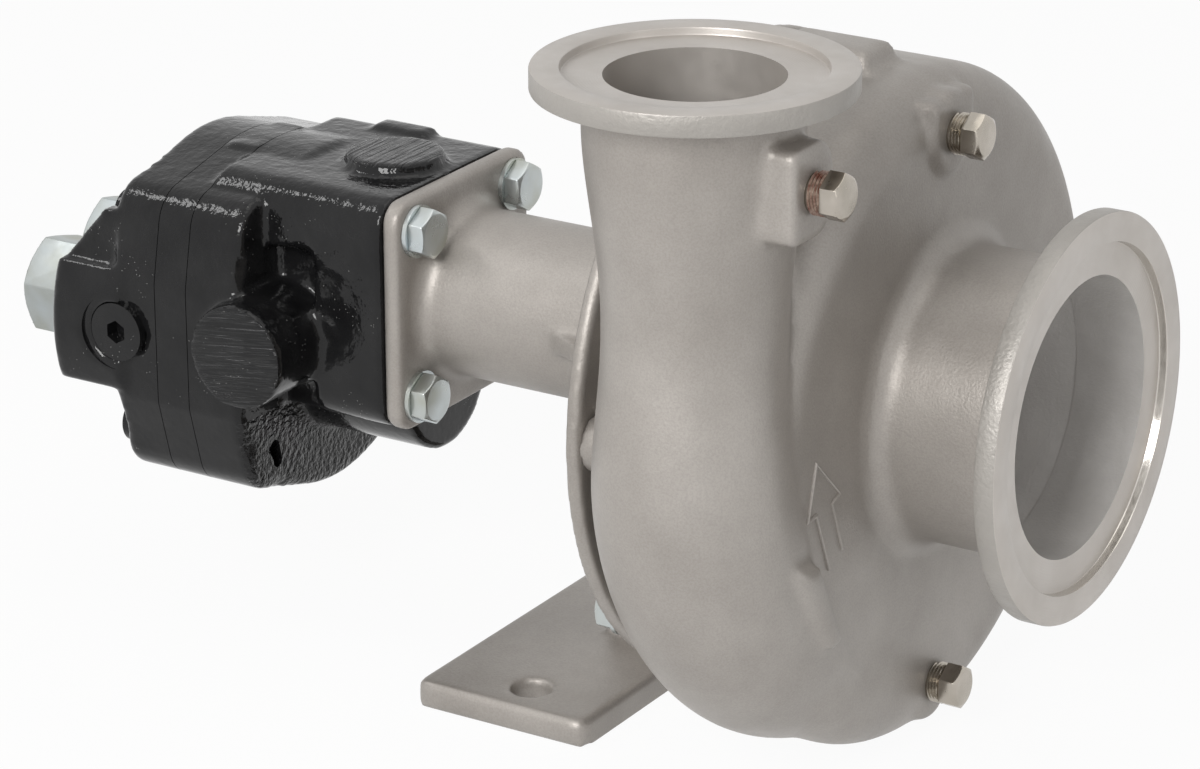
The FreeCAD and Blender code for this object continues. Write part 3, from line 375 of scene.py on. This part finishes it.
def threadSealant():
    # reddish-brown compound smeared in the thread
    paint = Painter("threadSealant", metal=0.25)
    smear = paint.noise(420, 3, 0.6)
    color = paint.ramp(smear, ((0.35, tone(0.13, 0.035, 0.018)), (0.6, tone(0.36, 0.27, 0.22))))
    return paint.finish(color, twoTones(paint, paint.noise(500, 2), 0.35, 0.7))


def zincPlate(name, share, rougher):
    # share dims the plating's colour, below 1 as painted shade; rougher is added to its roughness
    paint = Painter(name, metal=0.9)
    tones = (tone(0.40, 0.41, 0.35, share), tone(0.50, 0.53, 0.52, share), tone(0.55, 0.60, 0.62, share))
    color = paint.ramp(paint.noise(60, 3, 0.5), tuple(zip((0.3, 0.5, 0.7), tones)))
    rough = twoTones(paint, paint.noise(160, 3), 0.24 + rougher, 0.38 + rougher)
    return paint.finish(color, rough, paint.bump(paint.noise(900, 2), 0.00004, 0.3))


paintLook = {
    "black": tone(0.005, 0.005, 0.0055),
    "worn": tone(0.012, 0.012, 0.0125),
    "dust": tone(0.34, 0.34, 0.33),
    "sidePad": (-0.0928, 0.0, 0.089),
    "sidePadRadius": 0.0148,
    "sidePadFace": 0.0530,
    "topPad": (-0.0743, 0.0, 0.13),
    "topPadRadius": 0.0138,
    "topPadFace": 0.1368,
    "sawTilt": 8,  # degrees
    "peelAhead": -0.0985,  # the coarse skin is on the front plate's face, between these
    "peelEnd": -0.0945,
    "peelBelow": 0.066,
    "lumpsAbove": 0.086,  # the lumps in the paint grow with height from here
    "lumpsRise": 40,
    "lumpsLeast": 0.12,
}


def blackPaint():
    # thick gloss paint over a rough casting, thinner over the saw-cut pads
    paint = Painter("blackPaint", specular=0.3)
    up = paint.axis("Z")
    sides = paint.math("ABSOLUTE", paint.axis("Y"), 0)
    side = paint.math("MULTIPLY", paint.inBar(paintLook["sidePad"], paintLook["sidePadRadius"], "Y"),
                      paint.math("GREATER_THAN", sides, paintLook["sidePadFace"]))
    top = paint.math("MULTIPLY", paint.inBar(paintLook["topPad"], paintLook["topPadRadius"], "Z"),
                     paint.math("GREATER_THAN", up, paintLook["topPadFace"]))
    pads = paint.math("MAXIMUM", side, top)
    tilted = paint.moved(turn=(0, math.radians(paintLook["sawTilt"]), 0))
    sideLines = paint.noise(1, 2, 0.6, paint.moved(scale=(32, 1, 900), vector=tilted))
    topLines = paint.noise(1, 2, 0.6, paint.moved(scale=(600, 40, 1)))
    lines = paint.math("ADD", paint.math("MULTIPLY", sideLines, side),
                       paint.math("MULTIPLY", topLines, top))
    saw = paint.ramp(lines, ((0.42, 0.0), (0.58, 1.0)))
    along = paint.axis("X")
    onFace = paint.math("MULTIPLY", paint.math("GREATER_THAN", along, paintLook["peelAhead"]),
                        paint.math("LESS_THAN", along, paintLook["peelEnd"]))
    lowFront = paint.math("MULTIPLY", onFace, paint.math("LESS_THAN", up, paintLook["peelBelow"]))
    peel = paint.math("MULTIPLY", paint.noise(560, 2, 0.5), lowFront)
    specks = paint.math("MULTIPLY", paint.math("LESS_THAN", paint.cells(900), 0.10),
                        paint.math("GREATER_THAN", paint.noise(55, 3, 0.6), 0.57))
    black = twoTones(paint, paint.noise(80, 3), paintLook["black"], paintLook["worn"])
    color = paint.mixed(specks, black, paintLook["dust"])
    smooth = paint.ramp(paint.noise(40, 3, 0.6), ((0.35, 0.04), (0.65, 0.13)))
    padRough = paint.math("MULTIPLY", pads, 0.12)
    rough = paint.math("ADD", smooth, padRough)
    slow = paint.bump(paint.noise(75, 3, 0.5), 0.0006, 0.25)
    climb = paintLook["lumpsRise"]
    rise = paint.math("SUBTRACT", paint.math("MULTIPLY", up, climb), climb * paintLook["lumpsAbove"])
    lumpy = paint.math("MINIMUM", paint.math("MAXIMUM", rise, paintLook["lumpsLeast"]), 1.0)
    sagged = paint.bump(paint.math("MULTIPLY", paint.noise(230, 3, 0.6), lumpy), 0.0007, 0.5, slow)
    fine = paint.bump(paint.noise(520, 2, 0.55), 0.0002, 0.45, sagged)
    skin = paint.bump(peel, 0.0009, 0.9, fine)
    return paint.finish(color, rough, paint.bump(saw, 0.0004, 0.8, skin))


plainLook = {  # metal, colour's scale and two tones, roughness's scale and two values
    "hardSteel": (1.0, 70, tone(0.42, 0.42, 0.43), tone(0.52, 0.52, 0.53), 400, 0.2, 0.3),
    "softBlack": (0.0, 90, tone(0.018, 0.018, 0.018), tone(0.03, 0.03, 0.03), 300, 0.55, 0.75),
    "paleCeramic": (0.0, 90, tone(0.74, 0.71, 0.64), tone(0.82, 0.79, 0.73), 300, 0.2, 0.35),
    "bearingBronze": (1.0, 90, tone(0.52, 0.34, 0.14), tone(0.62, 0.44, 0.2), 300, 0.25, 0.4),
}


def plainFinish(name):
    metal, scale, dark, light, grain, smooth, coarse = plainLook[name]
    paint = Painter(name, metal=metal)
    color = twoTones(paint, paint.noise(scale, 2), dark, light)
    return paint.finish(color, twoTones(paint, paint.noise(grain, 2), smooth, coarse))


castFinish = castStainless()
paintedLightBoreFinish = paintedLightBore()
rimFinish = castRim()
polishedFinish = polishedStep()
# the suction face is lightened a fifth past the discharge face: painted light falling on it
suctionPaintedLightFinish = machinedFace("suctionTurnedPaintedLight", suctionSpot, "X", 1.2)
dischargeFinish = machinedFace("dischargeTurned", dischargeSpot, "Z")
brightFinish = brightStainless()
sealantFinish = threadSealant()
zincFinish = zincPlate("zincPlate", 1.0, 0)
# darker, rougher copy of the plating for the adapters: painted shade that keeps their top facets from reflecting
# white
shadedZincFinish = zincPlate("shadedZincPlate", 0.78, 0.12)
paintFinish = blackPaint()
steelFinish = plainFinish("hardSteel")
rubberFinish = plainFinish("softBlack")
ceramicFinish = plainFinish("paleCeramic")
bronzeFinish = plainFinish("bearingBronze")

nodesOfFinish = (
    (castFinish, ("volute_casing", "mounting_bracket", "impeller")),
    (paintFinish, ("motor_front_housing", "motor_gear_plate", "motor_rear_cover", "socket_plug",
                   "motor_bolts")),
    (zincFinish, ("casing_bolts", "casing_washers", "flange_bolts", "flange_washers", "pressure_adapter",
                  "tank_adapter")),
    (ceramicFinish, ("seal_seat",)),
    (rubberFinish, ("seal_ring", "casing_o_ring", "seal_seat_cup", "seal_bellows", "slinger", "lip_seal")),
    (steelFinish, ("bearing_outer_race", "bearing_inner_race", "bearing_balls", "shaft_circlip",
                   "drive_gear", "idler_gear", "dowel_pins")),
    (bronzeFinish, ("bearing_cage", "front_bushes", "rear_bushes")),
)
finishOfNode = {name: finish for finish, names in nodesOfFinish for name in names}
for name, node in nodes.items():
    node.data.materials.clear()
    node.data.materials.append(finishOfNode.get(name, brightFinish))
print("materials assigned")


# Shared mesh work

weld = 0.000001
alongX = Vector((1, 0, 0))
alongY = Vector((0, 1, 0))
alongZ = Vector((0, 0, 1))


def nodeCopy(node):
    # the node's own mesh with its doubled corners merged
    bm = bmesh.new()
    bm.from_mesh(nodes[node].data)
    bmesh.ops.remove_doubles(bm, verts=bm.verts, dist=weld)
    return bm


def addObject(name, bm):
    bmesh.ops.recalc_face_normals(bm, faces=bm.faces)
    mesh = bpy.data.meshes.new(name)
    bm.to_mesh(mesh)
    bm.free()
    piece = bpy.data.objects.new(name, mesh)
    bpy.context.scene.collection.objects.link(piece)
    return piece


def finished(piece, finish, body="pump_body", sharp=35):
    # smooth shading that breaks at edges steeper than sharp degrees
    mesh = piece.data
    mesh.polygons.foreach_set("use_smooth", [True] * len(mesh.polygons))
    mesh.set_sharp_from_angle(angle=math.radians(sharp))
    mesh.materials.clear()
    mesh.materials.append(finish)
    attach(piece, body)
    return piece


def settle(piece):
    # works the modifiers into the mesh
    bpy.context.view_layer.update()
    graph = bpy.context.evaluated_depsgraph_get()
    mesh = bpy.data.meshes.new_from_object(piece.evaluated_get(graph))
    old = piece.data
    piece.modifiers.clear()
    piece.data = mesh
    bpy.data.meshes.remove(old)
    mesh.name = piece.name


def steepEdges(bm, degrees):
    return [e for e in bm.edges if len(e.link_faces) == 2 and e.calc_face_angle() > math.radians(degrees)]


def bevelled(bm, edges, offset):
    bmesh.ops.bevel(bm, geom=edges, offset=offset, offset_type="OFFSET", segments=2,
                    profile=0.5, affect="EDGES", material=-1)


def joined(bm, part):
    # adds the part to bm and drops it
    mesh = bpy.data.meshes.new("part")
    part.to_mesh(mesh)
    part.free()
    bm.from_mesh(mesh)
    bpy.data.meshes.remove(mesh)


def onAxis(low, high, x):
    # the point at x on the middle line along X of a box
    return Vector((x, (low.y + high.y) / 2, (low.z + high.z) / 2))


def turned(outline, spot, axis, steps):
    # closed outline of (along the axis, radius) pairs, turned about the axis through spot
    bm = bmesh.new()
    side = alongX if axis == alongZ else alongZ
    verts = [bm.verts.new(spot + axis * along + side * radius) for along, radius in outline]
    edges = [bm.edges.new((verts[i - 1], verts[i])) for i in range(len(verts))]
    bmesh.ops.spin(bm, geom=verts + edges, cent=spot, axis=axis, angle=2 * math.pi, steps=steps,
                   use_merge=True)
    bmesh.ops.remove_doubles(bm, verts=bm.verts, dist=weld)
    return bm


def addRod(bm, radius, start, end, spot, axis=alongX):
    # closed round bar between two distances along the axis from spot
    middle = spot + axis * (start + end) / 2
    turn = alongZ.rotation_difference(axis).to_matrix().to_4x4()
    bmesh.ops.create_cone(bm, cap_ends=True, segments=96, radius1=radius, radius2=radius,
                          depth=end - start, matrix=Matrix.Translation(middle) @ turn)


def cutAway(bm, spot, axis):
    # removes what lies beyond spot along the axis
    bmesh.ops.bisect_plane(bm, geom=bm.verts[:] + bm.edges[:] + bm.faces[:], dist=weld,
                           plane_co=spot, plane_no=axis, clear_outer=True)


def castForm(name, bm, shape, tools=()):
    # one closed skin over the solids in bm, its edges softened as a casting's are, then bored
    piece = addObject(name, bm)
    skin = piece.modifiers.new("skin", "REMESH")
    skin.mode = "VOXEL"
    skin.voxel_size = shape["voxel"]
    soften = piece.modifiers.new("soften", "SMOOTH")
    soften.factor = 0.5
    soften.iterations = shape["softening"]
    for tool in tools:
        bore = piece.modifiers.new("bore", "BOOLEAN")
        bore.operation = "DIFFERENCE"
        bore.solver = "MANIFOLD"
        bore.object = tool
    settle(piece)
    for tool in tools:
        bpy.data.objects.remove(tool)
    return piece


# Pump casing

casing = {
    "voxel": 0.0014,
    "softening": 3,
    "stubOverlap": 0.0015,  # the skin is carried this far into each flange
    "nozzleRadius": 0.0403,
    "neckRadius": 0.027,
    "rearOpening": 0.064,
    "chamberRadius": 0.087,
    "chamberDrop": 0.007,
    "chamberBack": 0.015,  # lengths along the shaft are ahead of the disc's front face
    "chamberFront": 0.054,
    "wearBore": 0.0331,
    "wearBoreEnd": 0.062,
    "neckBore": 0.0197,
    "neckBoreTop": 0.035,
    "plugFace": 0.007,  # from a plug's inner end to the boss that it screws into
    "plugRadius": 0.0056,
    "loose": 0.0003,  # the machined sleeves stand this far proud of the cast bores
    "overrun": 0.001,  # one boring tool reaches this far into the next
    "past": 0.01,  # and out of the casting
    "toolSteps": 128,
    "ringSteps": 192,
    "near": 0.0006,  # a face this close to a radius belongs to it
}
suction = {
    "face": mounts["suction_face"]["pos_m"][0],
    "bore": mounts["suction_port"]["dims"]["r_mm"] / 1000,
    "boreLength": mounts["suction_port"]["dims"]["length_mm"] / 1000,
    "rim": 0.05535,
    "thickness": 0.0058,
    "stepRadius": 0.0472,
    "stepDepth": 0.0027,
    "sleeve": 0.0014,
    "edge": 0.0005,
}
discharge = {
    "face": mounts["discharge_face"]["pos_m"][2],
    "bore": mounts["discharge_port"]["dims"]["r_mm"] / 1000,
    "boreLength": mounts["discharge_port"]["dims"]["length_mm"] / 1000,
    "rim": 0.0409,
    "thickness": 0.0058,
    "stepRadius": 0.0333,
    "stepDepth": 0.0022,
    "sleeve": 0.0014,
    "edge": 0.0005,
}
plugNodes = ("vent_plug", "drain_plug", "gauge_plug")


def flangeRing(name, port, spot, axis, finish):
    # turned flange with its stepped face and the machined sleeve of its bore
    back = -port["thickness"]
    floor = -port["stepDepth"]
    inner = floor - port["boreLength"]
    sleeve = port["bore"] + port["sleeve"]
    outline = [(back, port["rim"]), (0, port["rim"]), (0, port["stepRadius"]), (floor, port["stepRadius"]),
               (floor, port["bore"]), (inner, port["bore"]), (inner, sleeve), (back, sleeve)]
    bm = turned(outline, spot, axis, casing["ringSteps"])
    outer = [e for e in steepEdges(bm, 40) if e.calc_length() > 2 * math.pi * sleeve / casing["ringSteps"]]
    bevelled(bm, outer, port["edge"])
    ring = addObject(name, bm)
    return finished(ring, finish)


def refinish(piece, finish, axis, spot, low, high, side):
    # faces between two radii from the axis, looking out from it (side 1) or in to it (side -1)
    piece.data.materials.append(finish)
    index = len(piece.data.materials) - 1
    for face in piece.data.polygons:
        away = face.center - spot
        out = away - axis * away.dot(axis)
        if low < out.length < high and side * out.normalized().dot(face.normal) > 0.5:
            face.material_index = index


def boringTool(name, outline, spot, axis):
    return addObject(name, turned(outline, spot, axis, casing["toolSteps"]))


def casingTools(suctionEnd, dischargeEnd):
    front, back, past = casing["chamberFront"], casing["chamberBack"], casing["past"]
    into, deep = front - casing["overrun"], back + casing["overrun"]
    drum, wear, wall = casing["chamberRadius"], casing["wearBore"], casing["rearOpening"]
    mouth = suctionEnd.x - shaftSpot.x
    bore = suction["bore"] + casing["loose"]
    taper = mouth - suction["stepDepth"] - suction["boreLength"]
    top = dischargeEnd.z - shaftSpot.z
    wide = discharge["bore"] + casing["loose"]
    shoulder = top - discharge["stepDepth"] - discharge["boreLength"]
    narrow = casing["neckBore"]
    passage = [(into, 0), (into, wear), (casing["wearBoreEnd"], wear), (taper, bore), (mouth + past, bore),
               (mouth + past, 0)]
    chamber = [(back, 0), (back, drum), (front, drum), (front, 0)]
    rear = [(-past, 0), (-past, wall), (deep, wall), (deep, 0)]
    neck = [(0, 0), (0, narrow), (casing["neckBoreTop"], narrow), (shoulder, wide), (top + past, wide),
            (top + past, 0)]
    neckSpot = Vector((dischargeEnd.x, dischargeEnd.y, shaftSpot.z))
    drumSpot = shaftSpot - alongZ * casing["chamberDrop"]
    return [boringTool("suctionTool", passage, shaftSpot, alongX),
            boringTool("chamberTool", chamber, drumSpot, alongX),
            boringTool("rearTool", rear, shaftSpot, alongX),
            boringTool("neckTool", neck, neckSpot, alongZ)]


def makeCasing():
    suctionEnd = Vector((suction["face"], shaftSpot.y, shaftSpot.z))
    dischargeEnd = Vector((dischargeSpot.x, dischargeSpot.y, discharge["face"]))
    bm = nodeCopy("volute_casing")
    overlap = casing["stubOverlap"]
    cutAway(bm, suctionEnd - alongX * (suction["thickness"] + overlap), alongX)
    cutAway(bm, dischargeEnd - alongZ * (discharge["thickness"] + overlap), alongZ)
    for port, radius, end, axis in ((suction, casing["nozzleRadius"], suctionEnd, alongX),
                                    (discharge, casing["neckRadius"], dischargeEnd, alongZ)):
        addRod(bm, radius, -port["thickness"] - 2 * overlap, -port["stepDepth"] - overlap / 2, end, axis)
    addRod(bm, casing["rearOpening"] + 2 * overlap, overlap, 4 * overlap, shaftSpot)
    for node in plugNodes:
        low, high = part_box(node)
        spot = onAxis(low, high, low.x + casing["plugFace"])
        addRod(bm, casing["plugRadius"], -4 * overlap, -overlap / 2, spot)
    skin = castForm("casingSkin", bm, casing, casingTools(suctionEnd, dischargeEnd))
    finished(skin, castFinish, sharp=50)
    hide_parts("volute_casing")
    suctionRing = flangeRing("suctionFlange", suction, suctionEnd, alongX, suctionPaintedLightFinish)
    dischargeRing = flangeRing("dischargeFlange", discharge, dischargeEnd, alongZ, dischargeFinish)
    near = casing["near"]
    bore = suction["bore"] + near
    # the bores are given the lightened finish, painted light inside them
    refinish(suctionRing, paintedLightBoreFinish, alongX, suctionEnd, 0, bore, -1)
    refinish(skin, paintedLightBoreFinish, alongX, suctionEnd, 0, bore, -1)
    step = suction["stepRadius"]
    refinish(suctionRing, polishedFinish, alongX, suctionEnd, step - near, step + near, -1)
    refinish(suctionRing, rimFinish, alongX, suctionEnd, suction["rim"] - near, 1, 1)
    refinish(dischargeRing, rimFinish, alongZ, dischargeEnd, discharge["rim"] - near, 1, 1)


makeCasing()
print("casing made")


# Flow arrow, a thin raised outline on the front of the casing

arrow = {
    "face": 0.059,  # ahead of the disc's front face
    "thickness": 0.0007,
    "tip": (-0.0694, 0.0020),
    "leftBarb": (-0.0733, -0.0126),
    "leftNeck": (-0.0689, -0.0123),
    "leftFoot": (-0.0616, -0.0297),
    "rightBarb": (-0.0566, -0.0103),
    "rightNeck": (-0.0606, -0.0118),
    "rightFoot": (-0.0547, -0.0265),
}


def makeArrow():
    corners = ("leftFoot", "leftNeck", "leftBarb", "tip", "rightBarb", "rightNeck", "rightFoot")
    curve = bpy.data.curves.new("arrowLine", "CURVE")
    curve.dimensions = "3D"
    curve.bevel_depth = arrow["thickness"]
    curve.bevel_resolution = 3
    curve.use_fill_caps = True
    line = curve.splines.new("POLY")
    line.points.add(len(corners) - 1)
    for point, corner in zip(line.points, corners):
        y, z = arrow[corner]
        point.co = (shaftSpot.x + arrow["face"], shaftSpot.y + y, shaftSpot.z + z, 1)
    drawn = bpy.data.objects.new("flowArrow", curve)
    bpy.context.scene.collection.objects.link(drawn)
    bpy.context.view_layer.update()
    graph = bpy.context.evaluated_depsgraph_get()
    mesh = bpy.data.meshes.new_from_object(drawn.evaluated_get(graph))
    bpy.data.objects.remove(drawn)
    piece = bpy.data.objects.new("flowArrow", mesh)
    bpy.context.scene.collection.objects.link(piece)
    finished(piece, castFinish)


makeArrow()


# Bracket and foot

bracket = {"voxel": 0.0013, "softening": 5}


def makeBracket():
    skin = castForm("bracketSkin", nodeCopy("mounting_bracket"), bracket)
    finished(skin, castFinish, sharp=50)
    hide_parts("mounting_bracket")


makeBracket()
print("bracket made")


# Motor castings, skinned as one and then parted at their joints

motor = {
    "voxel": 0.0011,
    "softening": 3,
    "jointGap": 0.00012,  # half of the fine line between two castings
    "axisDrop": 0.0158,  # the round body's middle lies this far under the shaft
    "coreRadius": 0.0508,
    "halfWidth": 0.0476,
    "hollowReach": 0.036,  # the gear chamber and bores stay inside this, towards each lug
    "lugCircle": 0.0465,
    "lugRadius": 0.0103,
    "wideLugCircle": 0.047,
    "wideLugRadius": 0.0112,
    "wideLug": 315,
    "lugAngles": (45, 135, 225, 315),  # degrees from straight up
    "edge": 0.0015,
    "frontPlate": 0.0176,
    "boltHead": 0.005,
    "recessRadius": 0.0112,
    "recessDepth": 0.03,  # out past the side of the port block
    "plugInset": 0.0003,
    "slotRadius": 0.002,
    "slotEnds": ((-0.0309, 0.0541), (-0.0299, 0.0496)),
    "slotReach": (-0.1000, -0.0800),
}
motorPieces = {
    "motor_front_housing": "motorFront",
    "motor_gear_plate": "motorMiddle",
    "motor_rear_cover": "motorRear",
}


def closedHull(bm):
    # replaces what is in bm by the convex skin round its corners
    corners = [v.co.copy() for v in bm.verts]
    bm.clear()
    for corner in corners:
        bm.verts.new(corner)
    hull = bmesh.ops.convex_hull(bm, input=bm.verts[:])
    inner = [v for v in hull["geom_interior"] if isinstance(v, bmesh.types.BMVert)]
    bmesh.ops.delete(bm, geom=inner, context="VERTS")
    bmesh.ops.recalc_face_normals(bm, faces=bm.faces[:])


def lugShoulder(bm, angle, start, end):
    # the casting runs smoothly from the round body out to its bolt lug
    wide = angle == motor["wideLug"]
    circle = motor["wideLugCircle"] if wide else motor["lugCircle"]
    radius = motor["wideLugRadius"] if wide else motor["lugRadius"]
    centre = Vector((0, shaftSpot.y, shaftSpot.z - motor["axisDrop"]))
    turn = math.radians(angle)
    away = Vector((0, math.sin(turn), math.cos(turn)))
    side = alongY * math.copysign(1, away.y)
    part = bmesh.new()
    addRod(part, motor["coreRadius"], start, end, centre)
    cutAway(part, side * motor["halfWidth"], side)
    cutAway(part, centre + away * motor["hollowReach"], -away)
    addRod(part, radius, start, end, centre + away * circle)
    closedHull(part)
    joined(bm, part)


def motorTools():
    # the ring recess round the socket plug and the slanted slot low in the front face
    low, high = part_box("socket_plug")
    recess = bmesh.new()
    plugSpot = Vector(((low.x + high.x) / 2, low.y - motor["plugInset"], (low.z + high.z) / 2))
    addRod(recess, motor["recessRadius"], 0, motor["recessDepth"], plugSpot, -alongY)
    slot = bmesh.new()
    for y, z in motor["slotEnds"]:
        addRod(slot, motor["slotRadius"], *motor["slotReach"], Vector((0, y, z)))
    closedHull(slot)
    return [addObject("recessTool", recess), addObject("slotTool", slot)]


def parted(skin, name, start, end):
    # the stretch of the skin between two joint planes, with its cut ends closed
    bm = bmesh.new()
    bm.from_mesh(skin.data)
    for spot, axis in ((start, -alongX), (end, alongX)):
        if spot is None:
            continue
        cut = bmesh.ops.bisect_plane(bm, geom=bm.verts[:] + bm.edges[:] + bm.faces[:], dist=weld,
                                     plane_co=alongX * spot, plane_no=axis, clear_outer=True)
        rim = [e for e in cut["geom_cut"] if isinstance(e, bmesh.types.BMEdge)]
        bmesh.ops.triangle_fill(bm, use_beauty=False, use_dissolve=False, edges=rim)
    return addObject(name, bm)


# Rough lumpy casting beside the near pad, moved out of its smooth shape by noise

lumps = {
    "low": (-0.090, -0.0515, 0.088),
    "high": (-0.0665, -0.020, 0.122),
    "fade": 0.004,
    "rounds": 14,
    "size": 0.0045,
    "height": 0.0006,
}


def makeLumps(piece):
    low, high = Vector(lumps["low"]), Vector(lumps["high"])
    bm = bmesh.new()
    bm.from_mesh(piece.data)
    share = {}
    for vert in bm.verts:
        inside = min(min(vert.co[i] - low[i], high[i] - vert.co[i]) for i in range(3))
        if inside > 0:
            share[vert] = min(inside / lumps["fade"], 1)
    for step in range(lumps["rounds"]):
        moved = {}
        for vert, weight in share.items():
            around = [e.other_vert(vert).co for e in vert.link_edges]
            moved[vert] = vert.co.lerp(sum(around, Vector()) / len(around), 0.5 * weight)
        for vert, spot in moved.items():
            vert.co = spot
    bm.normal_update()
    for vert, weight in share.items():
        height = noise.noise(vert.co / lumps["size"]) * lumps["height"] * weight
        vert.co += vert.normal * height
    bm.to_mesh(piece.data)
    bm.free()


def makeMotor():
    bm = bmesh.new()
    for node in motorPieces:
        joined(bm, nodeCopy(node))
    middleLow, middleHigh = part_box("motor_gear_plate")
    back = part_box("motor_bolts")[0].x + motor["boltHead"]
    front = middleHigh.x + motor["frontPlate"]
    for angle in motor["lugAngles"]:
        lugShoulder(bm, angle, back + motor["edge"], front - motor["edge"])
    skin = castForm("motorSkin", bm, motor, motorTools())
    makeLumps(skin)
    gap = motor["jointGap"]
    spans = {
        "motor_front_housing": (middleHigh.x + gap, None),
        "motor_gear_plate": (middleLow.x + gap, middleHigh.x - gap),
        "motor_rear_cover": (None, middleLow.x - gap),
    }
    for node, name in motorPieces.items():
        piece = parted(skin, name, *spans[node])
        finished(piece, paintFinish, sharp=50)
        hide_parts(node)
    bpy.data.objects.remove(skin)


makeMotor()
print("motor made")


# Bolts, plugs and adapters with eased edges

eased = {
    "casing_bolts": ("casingBoltHeads", zincFinish, "zinc_plate", 0.00025),
    "flange_bolts": ("flangeBoltHeads", zincFinish, "zinc_plate", 0.00025),
    "pressure_adapter": ("pressureAdapter", shadedZincFinish, "zinc_plate", 0.0004),
    "tank_adapter": ("tankAdapter", shadedZincFinish, "zinc_plate", 0.0004),
    "vent_plug": ("ventPlug", brightFinish, "bright_stainless", 0.0002),
    "drain_plug": ("drainPlug", brightFinish, "bright_stainless", 0.0002),
    "gauge_plug": ("gaugePlug", brightFinish, "bright_stainless", 0.0002),
}


def makeEased():
    for node, (name, finish, slot, offset) in eased.items():
        bm = nodeCopy(node)
        bmesh.ops.dissolve_limit(bm, angle_limit=math.radians(0.5), verts=bm.verts, edges=bm.edges)
        bevelled(bm, steepEdges(bm, 25), offset)
        piece = addObject(name, bm)
        finished(piece, finish, sharp=30)
        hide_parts(node)


makeEased()


# Pipe threads on the plugs' necks

thread = {
    "pitch": 0.00094,
    "turns": 4,
    "stepsPerTurn": 36,
    "root": 0.00505,
    "crest": 0.00565,
    "start": 0.0071,  # from the plug's inner end
}
threadFinish = {"vent_plug": brightFinish, "drain_plug": brightFinish, "gauge_plug": sealantFinish}


def makeThread(node):
    low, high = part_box(node)
    spot = onAxis(low, high, low.x + thread["start"])
    bm = bmesh.new()
    width = 0.8 * thread["pitch"]
    corners = [(0, thread["root"]), (width / 2, thread["crest"]), (width, thread["root"])]
    verts = [bm.verts.new(spot + Vector((x, 0, r))) for x, r in corners]
    edges = [bm.edges.new((verts[i - 1], verts[i])) for i in range(3)]
    steps = thread["turns"] * thread["stepsPerTurn"]
    bmesh.ops.spin(bm, geom=verts + edges, cent=spot, axis=alongX, angle=2 * math.pi * thread["turns"],
                   dvec=alongX * thread["pitch"] / thread["stepsPerTurn"], steps=steps)
    bmesh.ops.holes_fill(bm, edges=[e for e in bm.edges if e.is_boundary], sides=3)
    piece = addObject(node.split("_")[0] + "Thread", bm)
    finished(piece, threadFinish[node], sharp=60)


for node in plugNodes:
    makeThread(node)
print("small pieces made")
